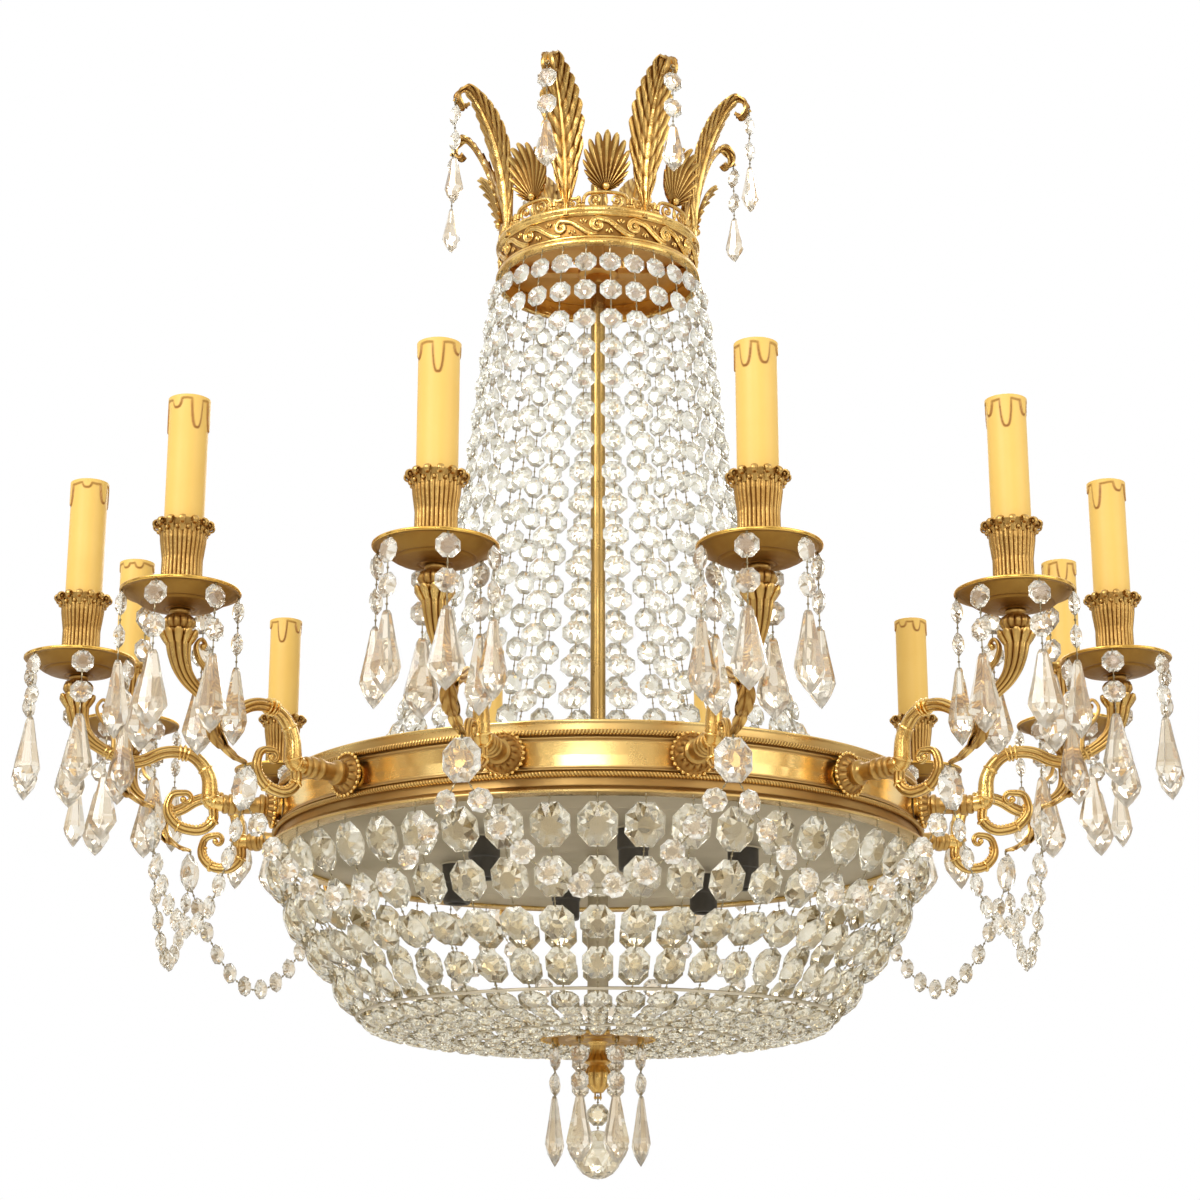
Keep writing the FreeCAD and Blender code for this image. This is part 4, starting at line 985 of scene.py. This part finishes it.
def waxSleeve(spec, seed):
    # Candle sleeve: wax runs in relief from the top edge, bordered by one brown line that goes all round.
    own = np.random.RandomState(seed)
    steps, rows = 132, 92
    r, top, low = spec["radius"], spec["top"], spec["low"]
    angles = ringAngles(steps)
    heights = np.concatenate([np.linspace(low, top - 30, 14), np.linspace(top - 29.5, top, rows - 14)])
    perStep = 10
    fine = ringAngles(steps * perStep)
    run = np.full(len(fine), spec["arch"]) + 0.5 * np.sin(5 * fine + own.rand() * 6)
    for i in range(spec["drips"]):
        centre = 2 * math.pi * (i + 0.3 * own.rand()) / spec["drips"]
        length = own.choice([7.0, 12.0, 17.0, 22.0]) + 3 * own.rand()
        half = (3.7 + 0.9 * own.rand()) / r
        off = np.abs((fine - centre + math.pi) % (2 * math.pi) - math.pi) / half
        run = np.maximum(run, length * np.clip(1 - off ** 3, 0, 1) ** 0.6)
    down = (top - heights)[:, None]
    cover = np.clip((run[None, ::perStep] - down) / 0.9 + 0.5, 0, 1)
    ahead = np.roll(run, -1)
    shallow, deep = np.minimum(run, ahead), np.maximum(run, ahead)
    distance = np.full((rows, steps), 9.0)
    for k in range(-18, 19):  # the nearest bit of the runs' border, also on their upright sides
        beside = (np.arange(steps) * perStep + k) % len(run)
        gap = np.maximum(0, np.maximum(shallow[beside] - down, down - deep[beside]))
        distance = np.minimum(distance, np.hypot(k * r * fine[1], gap))
    outline = np.clip(1.35 - distance / spec["line"], 0, 1) * np.clip(0.45 + down / 16, 0, 1)
    radius = r - 0.35 + spec["relief"] * cover
    radius[-1] -= 0.7
    outside = aboutAxis(radius, angles, heights[:, None])
    inner = r - spec["wall"]
    bore = [(inner + 0.3, top), (inner, top - 0.6), (inner, low)]
    rows = np.vstack([outside, [aboutAxis(reach, angles, z) for reach, z in bore]])
    return sheet(rows, np.vstack([outline, np.zeros((len(bore), steps))]), ring=True)


plateSpec = {"thick": 1.5, "low": ringLow + ringSpec["flangeHeight"], "radius": 242.6, "lamps": 6,
             "firstLamp": front + 13.0, "lampRing": 115.0, "lampTop": -562.0, "screws": 6, "screwRing": 160.0,
             "firstScrew": 43.0}


def hangingHolder(spec):  # mouth down through the lamp plate, on a flange
    points, faces, marks = lampHolder(dict(holderSpec, top=holderSpec["length"], rod=10.0), 0.0)
    r, flare, low = holderSpec["radius"] - 0.2, 14.0, spec["low"] + spec["thick"]
    flange = [(r, low), (flare, low), (flare, low + 2.4), (flare - 0.6, low + 3), (r, low + 3)]
    return gather([shifted((points * [1, -1, -1], faces, marks), z=spec["lampTop"]), lathe(flange, 40, 0.3)])


def onLamps(shape, spec):
    return around(shifted(shape, spec["lampRing"]), spec["lamps"], spec["firstLamp"])


def atCandles(shape):
    return onArms(shifted(shape, armSpec["candleRing"]))


giltPiece("gadrooned_knops", atCandles(shadedOver(gadroonedKnop(panSpec), panSpec["knopShade"])), "pan_knops")
giltPiece("drip_pans", atCandles(dripPan(panSpec)), "drip_pans", giltPan)
giltPiece("leaf_cups", atCandles(shadedOver(leafCup(cupSpec), cupSpec["shadeMark"])), "candle_cups")
holders = gather([atCandles(lampHolder(holderSpec, cupSeat)), onLamps(hangingHolder(plateSpec), plateSpec)])
makePiece("lampholders", holders, holderBlack, ["lampholders"])
for i in range(armSpec["count"]):
    label = "%02d" % (i + 1)
    sleeve = shifted(waxSleeve(candleSpec, candleSpec["firstSeed"] + i), armSpec["candleRing"])
    sleeve = turned(sleeve, armSpec["first"] + 360.0 / armSpec["count"] * i)
    makePiece("candle_" + label, sleeve, candleCream, ["candle_sleeve_" + label],
              "sleeve_" + label)
print("candles done")


# Basket fittings: lamp plate, boss plate, hooks and finial

def lampPlate(spec):
    hole, r, z, top = stemHole, spec["radius"], spec["low"], spec["low"] + spec["thick"]
    profile = [(hole, z), (30, z), (32, z - 0.5), (34, z), (188, z), (190, z - 0.6), (192, z), (r, z),
               (r, top), (192, top), (190, top - 0.6), (188, top), (34, top), (32, top - 0.5), (30, top),
               (hole, top)]
    rim = lathe([(12.1, z - 0.9), (13.6, z - 0.9), (14.2, z), (12.1, z)], 40, 0.2)
    screw = pearl((spec["screwRing"], 0, z - 0.2), 3.0, 12, 6, 0.5)
    screws = around(screw, spec["screws"], spec["firstScrew"])
    return gather([lathe(profile, 144, 0.4), onLamps(rim, spec), screws])


# the boss plate and the finial are darkened by their marks, as painted shade
bossSpec = {"radius": 44.0, "top": -728.0, "thick": 3.0, "strings": 8, "stringRadius": 35.0, "pearls": 48,
            "finial": 11.0, "shadeMark": 0.5, "finialShade": 0.2}
bossLow = bossSpec["top"] - bossSpec["thick"]


def forkHook(pinZ, top, middle):  # two cheeks and the pin between them, which a string hangs on
    cheeks = [tube([(0, y, top), (0, y, middle), (0, y, pinZ - 2)], [1.9, 2.0, 1.0], 12, flat=0.36)
              for y in (-2.05, 2.05)]
    pin = [(0, y, pinZ) for y in (-3.0, -2.6, 2.6, 3.0)]
    return gather(cheeks + [tube(pin, [0.8, 1.0, 1.0, 0.8], 10, sideways=(1, 0, 0))])


def bossPlate(spec):
    r, top, low = spec["radius"], spec["top"], bossLow
    profile = [(0, top), (r - 2, top), (r, top - 0.8), (r, low + 0.6), (r - 1.2, low), (r - 5, low + 0.5),
               (r - 6.4, low - 0.2), (25, low), (23, low - 1.2), (20, low - 1.4), (18.5, low - 0.4),
               (16, low - 1.0), (12, low - 1.8), (0, low - 1.8)]
    edge = around(pearl((r - 1.6, 0, low + 0.1), 1.3, 8, 5), spec["pearls"])
    hook = shifted(forkHook(low - 3, low + 0.5, low - 2.4), spec["stringRadius"])
    hooks = around(hook, spec["strings"], front + 180.0 / spec["strings"])
    return gather([lathe(profile, 96, 0.4, False), edge, hooks])


def bellFinial(spec):
    r, low = spec["finial"], bossLow
    profile = [(0, low), (8, low), (8.4, low - 2), (6.4, low - 4), (5.8, low - 8), (6.6, low - 11),
               (0.95 * r, low - 15.5), (0.98 * r, low - 17), (0.62 * r, low - 19), (0.72 * r, low - 20.5),
               (0.98 * r, low - 25), (r, low - 29), (0.84 * r, low - 34), (0.5 * r, low - 37.5),
               (0.36 * r, low - 39.4), (0, low - 40)]
    fluted = [(low - 38, 0.0), (low - 35, 0.8), (low - 26, 1.0), (low - 20, 0.2), (low - 19, 0.0),
              (low - 17.5, 0.6), (low - 12, 1.0), (low - 8, 0.0)]
    hook = turned(forkHook(low - 43, low - 37.5, low - 41), -90)
    return gather([lathe(profile, 72, 0.5, False, 10, 1.3, fluted), hook])


giltPiece("lamp_plate", lampPlate(plateSpec), "lamp_plate", dullPlate)
giltPiece("boss_plate", shadedOver(bossPlate(bossSpec), bossSpec["shadeMark"]), "boss_plate")
giltPiece("bell_finial", shadedOver(bellFinial(bossSpec), bossSpec["finialShade"]), "finial")
print("basket fittings done")


# Crystals. Their places are read from the frame: every bead, drop, pin and eye of a node in turn.

def solidsOf(node):
    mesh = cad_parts[node].data
    count = len(mesh.vertices)
    points = np.empty(count * 3)
    mesh.vertices.foreach_get("co", points)
    points = points.reshape(-1, 3) * 1000.0
    keys, owner = np.unique(np.round(points, 2), axis=0, return_inverse=True)
    owner = owner.reshape(-1)
    parent = np.arange(len(keys))
    edges = np.empty(len(mesh.edges) * 2, dtype=int)
    mesh.edges.foreach_get("vertices", edges)
    edges = owner[edges.reshape(-1, 2)]
    while True:  # spread the lowest number through each solid
        low = np.minimum(parent[edges[:, 0]], parent[edges[:, 1]])
        before = parent.copy()
        np.minimum.at(parent, edges[:, 0], low)
        np.minimum.at(parent, edges[:, 1], low)
        parent = parent[parent]
        if np.array_equal(before, parent):
            break
    order = np.argsort(parent, kind="stable")
    groups = np.split(order, np.flatnonzero(np.diff(parent[order])) + 1)
    return [keys[group] for group in groups]


beadSpec = {"table": 0.40, "star": 0.80, "starDepth": 0.60}
cornerStretch = 1 / math.cos(math.radians(22.5))


def onOval(centre, across, along, width, height, degrees):  # a place on an oval with these two axes
    a = math.radians(degrees)
    return centre + across * (math.cos(a) * width / 2) + along * (math.sin(a) * height / 2)


def facetTones(count, chance, dark, bright):
    # Tones of count cut faces, painted as reflections. Each is dark by that chance and else bright, both as
    # (lowest, spread).
    picks = []
    for _ in range(count):
        low, spread = dark if dice.rand() < chance else bright
        picks.append(low + spread * dice.rand())
    return picks


def octagonBead(points):
    centre = points.mean(axis=0)
    spread = np.linalg.svd(points - centre, full_matrices=False)[2]
    normal = spread[2]
    outward = unit(np.array([centre[0], centre[1], 0.0]))
    if abs(normal[2]) < 0.8:
        across = unit(np.cross([0, 0, 1], normal))
    else:
        across = unit(np.cross([0, 0, 1], outward))
    across = unit(across - normal * across.dot(normal))
    along = np.cross(normal, across)
    flat = points - centre
    u, v, w = flat @ across, flat @ along, flat @ normal
    rim = np.abs(w) < 0.15
    width, height = u[rim].max() - u[rim].min(), v[rim].max() - v[rim].min()
    if abs(width - height) < 0.9:  # a round bead may lie turned
        turn = math.atan2(v[rim][0], u[rim][0]) % (math.pi / 4) - math.radians(22.5)
        c, s = math.cos(turn), math.sin(turn)
        across, along = across * c + along * s, along * c - across * s
        u, v = flat @ across, flat @ along
        width, height = u[rim].max() - u[rim].min(), v[rim].max() - v[rim].min()
    depth = w.max() - w.min()
    points, faces, tones = [], [], []
    table, star = beadSpec["table"] * cornerStretch, beadSpec["star"]
    for side in (1, -1):
        for scale, lift, offset in ((table, 0.5, 22.5), (star, 0.5 * beadSpec["starDepth"], 0.0)):
            middle, size = centre + normal * (side * lift * depth), (width * scale, height * scale)
            points += [onOval(middle, across, along, *size, offset + 45 * i) for i in range(8)]
    girdle = len(points)
    size = (width * cornerStretch, height * cornerStretch)
    points += [onOval(centre, across, along, *size, 22.5 + 45 * i) for i in range(8)]
    # how dark this bead's darker kites are painted, as reflection of the room
    reflectedDark = dice.rand()
    for start in (0, 16):
        faces.append(tuple(start + i for i in range(8)))
        tones.append(0.30 + 0.45 * dice.rand())
        for i in range(8):
            j = (i + 1) % 8
            table, nextTable, star, nextStar = start + i, start + j, start + 8 + i, start + 8 + j
            faces.append((table, nextTable, nextStar))
            tones.append(0.55 + 0.45 * dice.rand())
            for kite in ((table, nextStar, girdle + i), (table, girdle + i, star)):
                faces.append(kite)
                chance = dice.rand()
                tones.append(0.0 if chance < 0.12 else 0.2 + 0.3 * reflectedDark if chance < 0.28 else 1.0)
            faces.append((girdle + i, nextStar, girdle + j))
            tones.append(0.75 + 0.25 * dice.rand())
    return np.array(points), faces, tones


# How far down each ring of corners lies, how wide it is, and how far it is turned
dropRings = [(0.0, 0.2, 0), (0.05, 0.33, 0), (0.36, 0.64, 0), (0.62, 0.94, 0), (0.7, 1.0, 0),
             (0.81, 0.78, 22.5), (0.92, 0.38, 0)]


def pearDrop(points):
    top, tip = points[:, 2].max(), points[:, 2].min()
    centre = points.mean(axis=0)
    flat = points[:, :2] - centre[:2]
    spread = np.linalg.svd(flat, full_matrices=False)[2]
    across = np.array([spread[0][0], spread[0][1], 0.0])
    facing = np.array([-across[1], across[0], 0.0])
    width = 2 * np.abs(flat @ spread[0]).max() / cornerStretch
    depth = 2 * np.abs(flat @ spread[1]).max() / cornerStretch
    length = top - tip
    middle = np.array([centre[0], centre[1], top])
    points, faces, tones = [], [], []
    for down, share, offset in dropRings:
        place, stretch = middle - np.array([0, 0, down * length]), share * cornerStretch
        points += [onOval(place, across, facing, width * stretch, depth * stretch, 22.5 + offset + 45 * i)
                   for i in range(8)]
    end = len(points)
    points.append(middle - np.array([0, 0, length]))
    faces.append(tuple(range(8)))
    tones.append(0.3)
    for k, (ring, nextRing) in enumerate(zip(dropRings, dropRings[1:])):
        for i in range(8):
            j = (i + 1) % 8
            a, b, c, d = 8 * k + i, 8 * k + j, 8 * k + 8 + j, 8 * k + 8 + i
            if ring[2] == nextRing[2]:
                faces.append((a, b, c, d))
                tones += facetTones(1, 0.3, (0.2, 0.25), (0.55, 0.4))
                continue
            faces += [(a, b, d), (b, c, d)] if nextRing[2] else [(a, b, c), (a, c, d)]
            tones += facetTones(2, 0.25, (0.2, 0.3), (0.75, 0.25))
    last = 8 * (len(dropRings) - 1)
    for i in range(8):
        faces.append((last + i, last + (i + 1) % 8, end))
        tones.append(0.8 + 0.2 * dice.rand())
    return np.array(points), faces, tones


def cutBall(points):
    centre = (points.max(axis=0) + points.min(axis=0)) / 2
    radius = (points[:, 2].max() - points[:, 2].min()) / 2
    points, faces = [centre + np.array([0, 0, radius])], []
    sides, levels = 14, 9
    for k in range(1, levels):
        lift = math.pi / 2 - math.pi * k / levels
        angles = ringAngles(sides) + math.pi * (k % 2) / sides
        points += list(centre + radius * aboutAxis(math.cos(lift), angles, math.sin(lift)))
    points.append(centre - np.array([0, 0, radius]))
    end = len(points) - 1
    for i in range(sides):
        j = (i + 1) % sides
        faces += [(0, 1 + i, 1 + j), (end, end - sides + j, end - sides + i)]
    for k in range(levels - 2):
        low = 1 + sides * k
        for i in range(sides):
            j = (i + 1) % sides
            a, b, c, d = low + i, low + j, low + sides + j, low + sides + i
            faces += [(a, d, b), (b, d, c)] if k % 2 else [(a, d, c), (a, c, b)]
    return np.array(points), faces, facetTones(len(faces), 0.25, (0.1, 0.3), (0.7, 0.3))


wireSpec = {"wire": 0.42, "knot": 1.05, "loop": 0.85, "end": 0.4, "into": 1.9, "slant": (0.31, 0.47, 0.83),
            "eye": 1.75, "eyeWire": 0.55}


def wirePin(points):
    centre = points.mean(axis=0)
    axis = np.linalg.svd(points - centre, full_matrices=False)[2][0]
    half = np.abs((points - centre) @ axis).max() + wireSpec["into"]
    side = unit(np.cross(axis, wireSpec["slant"]))
    near = half - 1.5  # a loop closes in each bead's hole
    places = [-half, -near, 0.3 - near, -0.9, 0, 0.9, near - 0.3, near, half]
    wire, knot, loop, end = wireSpec["wire"], wireSpec["knot"], wireSpec["loop"], wireSpec["end"]
    sizes = [end, loop, wire, wire, knot, wire, wire, loop, end]
    return tube([centre + axis * place for place in places], sizes, 6, sideways=side)


def hangingEye(points):
    centre = (points.max(axis=0) + points.min(axis=0)) / 2
    normal = np.linalg.svd(points - centre, full_matrices=False)[2]
    flat = points - centre
    thin = normal[2] if np.abs(flat @ normal[2]).max() < 1.2 else normal[0]
    side = unit(np.cross(thin, wireSpec["slant"]))
    b = ringAngles(8)
    eye = aboutAxis(wireSpec["eye"] + wireSpec["eyeWire"] * np.cos(b), ringAngles(20)[:, None],
                    wireSpec["eyeWire"] * np.sin(b))
    return sheet(centre + eye @ np.array([side, np.cross(thin, side), thin]), ring=True)


def dressCrystals(name, node, body="frame", wireName=None, crystal=clearCrystal):
    cut, brass, tones = [], [], []
    for points in solidsOf(node):  # a solid is known by its corners, and the ball by its height
        other = cutBall if points[:, 2].max() - points[:, 2].min() > 30 else hangingEye
        shaper = {24: octagonBead, 25: pearDrop, 8: wirePin}.get(len(points), other)
        shape = shaper(points)
        if shaper in (wirePin, hangingEye):
            brass.append(shape)
            continue
        cut.append((shape[0], shape[1], np.zeros(len(shape[0]))))
        tones += shape[2]
    if cut:
        makePiece(name, gather(cut), crystal, [node], body, sharp=None, tones=tones)
    if brass:
        makePiece(wireName or name, gather(brass), wireBrass, [] if cut else [node], body)
    print(name, len(cut), "crystals", len(brass), "wires")


dressCrystals("tent_beads", "tent_beads", crystal=tentCrystal)
for name in ("basket_beads", "basket_floor_beads"):
    dressCrystals(name, name, crystal=darkFacetCrystal)
for name in ("pan_beads", "pan_drops", "arm_octagons", "swag_beads"):
    dressCrystals(name, name)
dressCrystals("bead_wires", "bead_pins")
for string, node in (("plume_string", "crown_drop"), ("bottom_string", "bottom_drop")):
    for i in range(1, 9):
        label = "%s_%d" % (string, i)
        dressCrystals(label, "%s_%d" % (node, i), label, "%s_wire_%d" % (string, i))
dressCrystals("crystal_ball", "crystal_ball", "ball", "ball_wire", darkFacetCrystal)
print("crystals done")


# Room, lights and camera

roomSpec = {"floorZ": -2.6, "floorSize": 40.0}


def stageSheet(name, corners, material):
    mesh = bpy.data.meshes.new(name)
    mesh.from_pydata(corners, [], [(0, 1, 2, 3)])
    mesh.materials.append(material)
    piece = bpy.data.objects.new(name, mesh)
    scene.collection.objects.link(piece)
    return piece


def paleFloor(spec):  # seen from above only, so that a view from below isn't blocked
    material, tree, shader = newMaterial("pale floor", {"Roughness": 0.9})
    cloud = noise(tree, 0.8, 2.0)
    pale = mixColour(tree, cloud, (0.84, 0.84, 0.83), (0.88, 0.88, 0.87))
    tree.links.new(pale, shader.inputs["Base Color"])
    hidden = addNode(tree, "ShaderNodeBsdfTransparent")
    mix = addNode(tree, "ShaderNodeMixShader")
    side = addNode(tree, "ShaderNodeNewGeometry")
    tree.links.new(side.outputs["Backfacing"], mix.inputs[0])
    tree.links.new(shader.outputs[0], mix.inputs[1])
    tree.links.new(hidden.outputs[0], mix.inputs[2])
    tree.links.new(mix.outputs[0], tree.nodes["Material Output"].inputs["Surface"])
    half, z = spec["floorSize"] / 2, spec["floorZ"]
    stageSheet("floor", [(-half, -half, z), (half, -half, z), (half, half, z), (-half, half, z)], material)


def whiteWorld():
    world = bpy.data.worlds.new("studio")
    scene.world = world
    world.use_nodes = True
    tree = world.node_tree
    soft = tree.nodes["Background"]
    soft.inputs["Color"].default_value = (1.0, 0.99, 0.97, 1.0)
    soft.inputs["Strength"].default_value = 0.8
    white = addNode(tree, "ShaderNodeBackground")  # what the camera, metal and glass see behind the object
    white.inputs["Color"].default_value = (1.0, 1.0, 1.0, 1.0)
    white.inputs["Strength"].default_value = 1.0
    path = addNode(tree, "ShaderNodeLightPath")
    seen = mathNode(tree, "MAXIMUM", path.outputs["Is Camera Ray"], path.outputs["Is Glossy Ray"])
    seen = mathNode(tree, "MAXIMUM", seen, path.outputs["Is Transmission Ray"])
    mix = addNode(tree, "ShaderNodeMixShader")
    tree.links.new(seen, mix.inputs[0])
    tree.links.new(soft.outputs[0], mix.inputs[1])
    tree.links.new(white.outputs[0], mix.inputs[2])
    tree.links.new(mix.outputs[0], tree.nodes["World Output"].inputs["Surface"])


lightSpec = [
    {"name": "key", "place": (-2.2, -2.6, 1.6), "size": 1.8, "power": 78.0},
    {"name": "fill", "place": (2.8, -2.0, 0.2), "size": 2.2, "power": 28.0},
    {"name": "back", "place": (0.6, 3.0, 1.4), "size": 2.0, "power": 39.0},
    {"name": "front", "place": (-0.25, -3.4, 0.45), "size": 0.9, "power": 16.0},
]


def softLight(spec):
    lamp = bpy.data.lights.new(spec["name"], "AREA")
    lamp.shape = "SQUARE"
    lamp.size = spec["size"]
    lamp.energy = spec["power"]
    light = bpy.data.objects.new(spec["name"], lamp)
    light.location = spec["place"]
    scene.collection.objects.link(light)
    aim = -(light.location - Vector((0, 0, -0.45)))
    light.rotation_euler = aim.to_track_quat("-Z", "Y").to_euler()
    light.visible_camera = False


panelSpec = {"count": 11, "reach": 4.6, "width": 1.05, "low": -2.4, "high": 1.9, "turn": 24.5}


def darkPanels(spec):
    # Dark cloths round the studio. Only polished metal and cut faces mirror them, as upright streaks.
    material, tree, shader = newMaterial("dark cloth", {"Roughness": 0.9})
    cloud = noise(tree, 1.5, 3.0)
    brown = mixColour(tree, cloud, (0.10, 0.055, 0.02), (0.30, 0.19, 0.09))
    tree.links.new(brown, shader.inputs["Base Color"])
    for i in range(spec["count"]):
        a = math.radians(spec["turn"] + 360.0 / spec["count"] * i)
        middle = Vector((spec["reach"] * math.cos(a), spec["reach"] * math.sin(a), 0.0))
        side = Vector((-math.sin(a), math.cos(a), 0.0)) * (spec["width"] / 2)
        low, high = Vector((0, 0, spec["low"])), Vector((0, 0, spec["high"]))
        corners = [middle - side + low, middle + side + low, middle + side + high, middle - side + high]
        panel = stageSheet("dark_panel_%d" % (i + 1), corners, material)
        panel.visible_camera = False
        panel.visible_transmission = False
        panel.visible_diffuse = False
        panel.visible_shadow = False


cameraSpec = {"place": (0.0016, -1.945, -0.95), "pitch": 16.2, "lens": 76.6}
camera = bpy.data.objects.new("camera", bpy.data.cameras.new("camera"))
camera.data.lens = cameraSpec["lens"]
camera.data.sensor_width = 36.0
camera.location = cameraSpec["place"]
camera.rotation_euler = (math.radians(90 + cameraSpec["pitch"]), 0, 0)
scene.collection.objects.link(camera)
scene.camera = camera
paleFloor(roomSpec)
whiteWorld()
darkPanels(panelSpec)
for spec in lightSpec:
    softLight(spec)
scene.view_settings.view_transform = "Standard"
print("room ready")
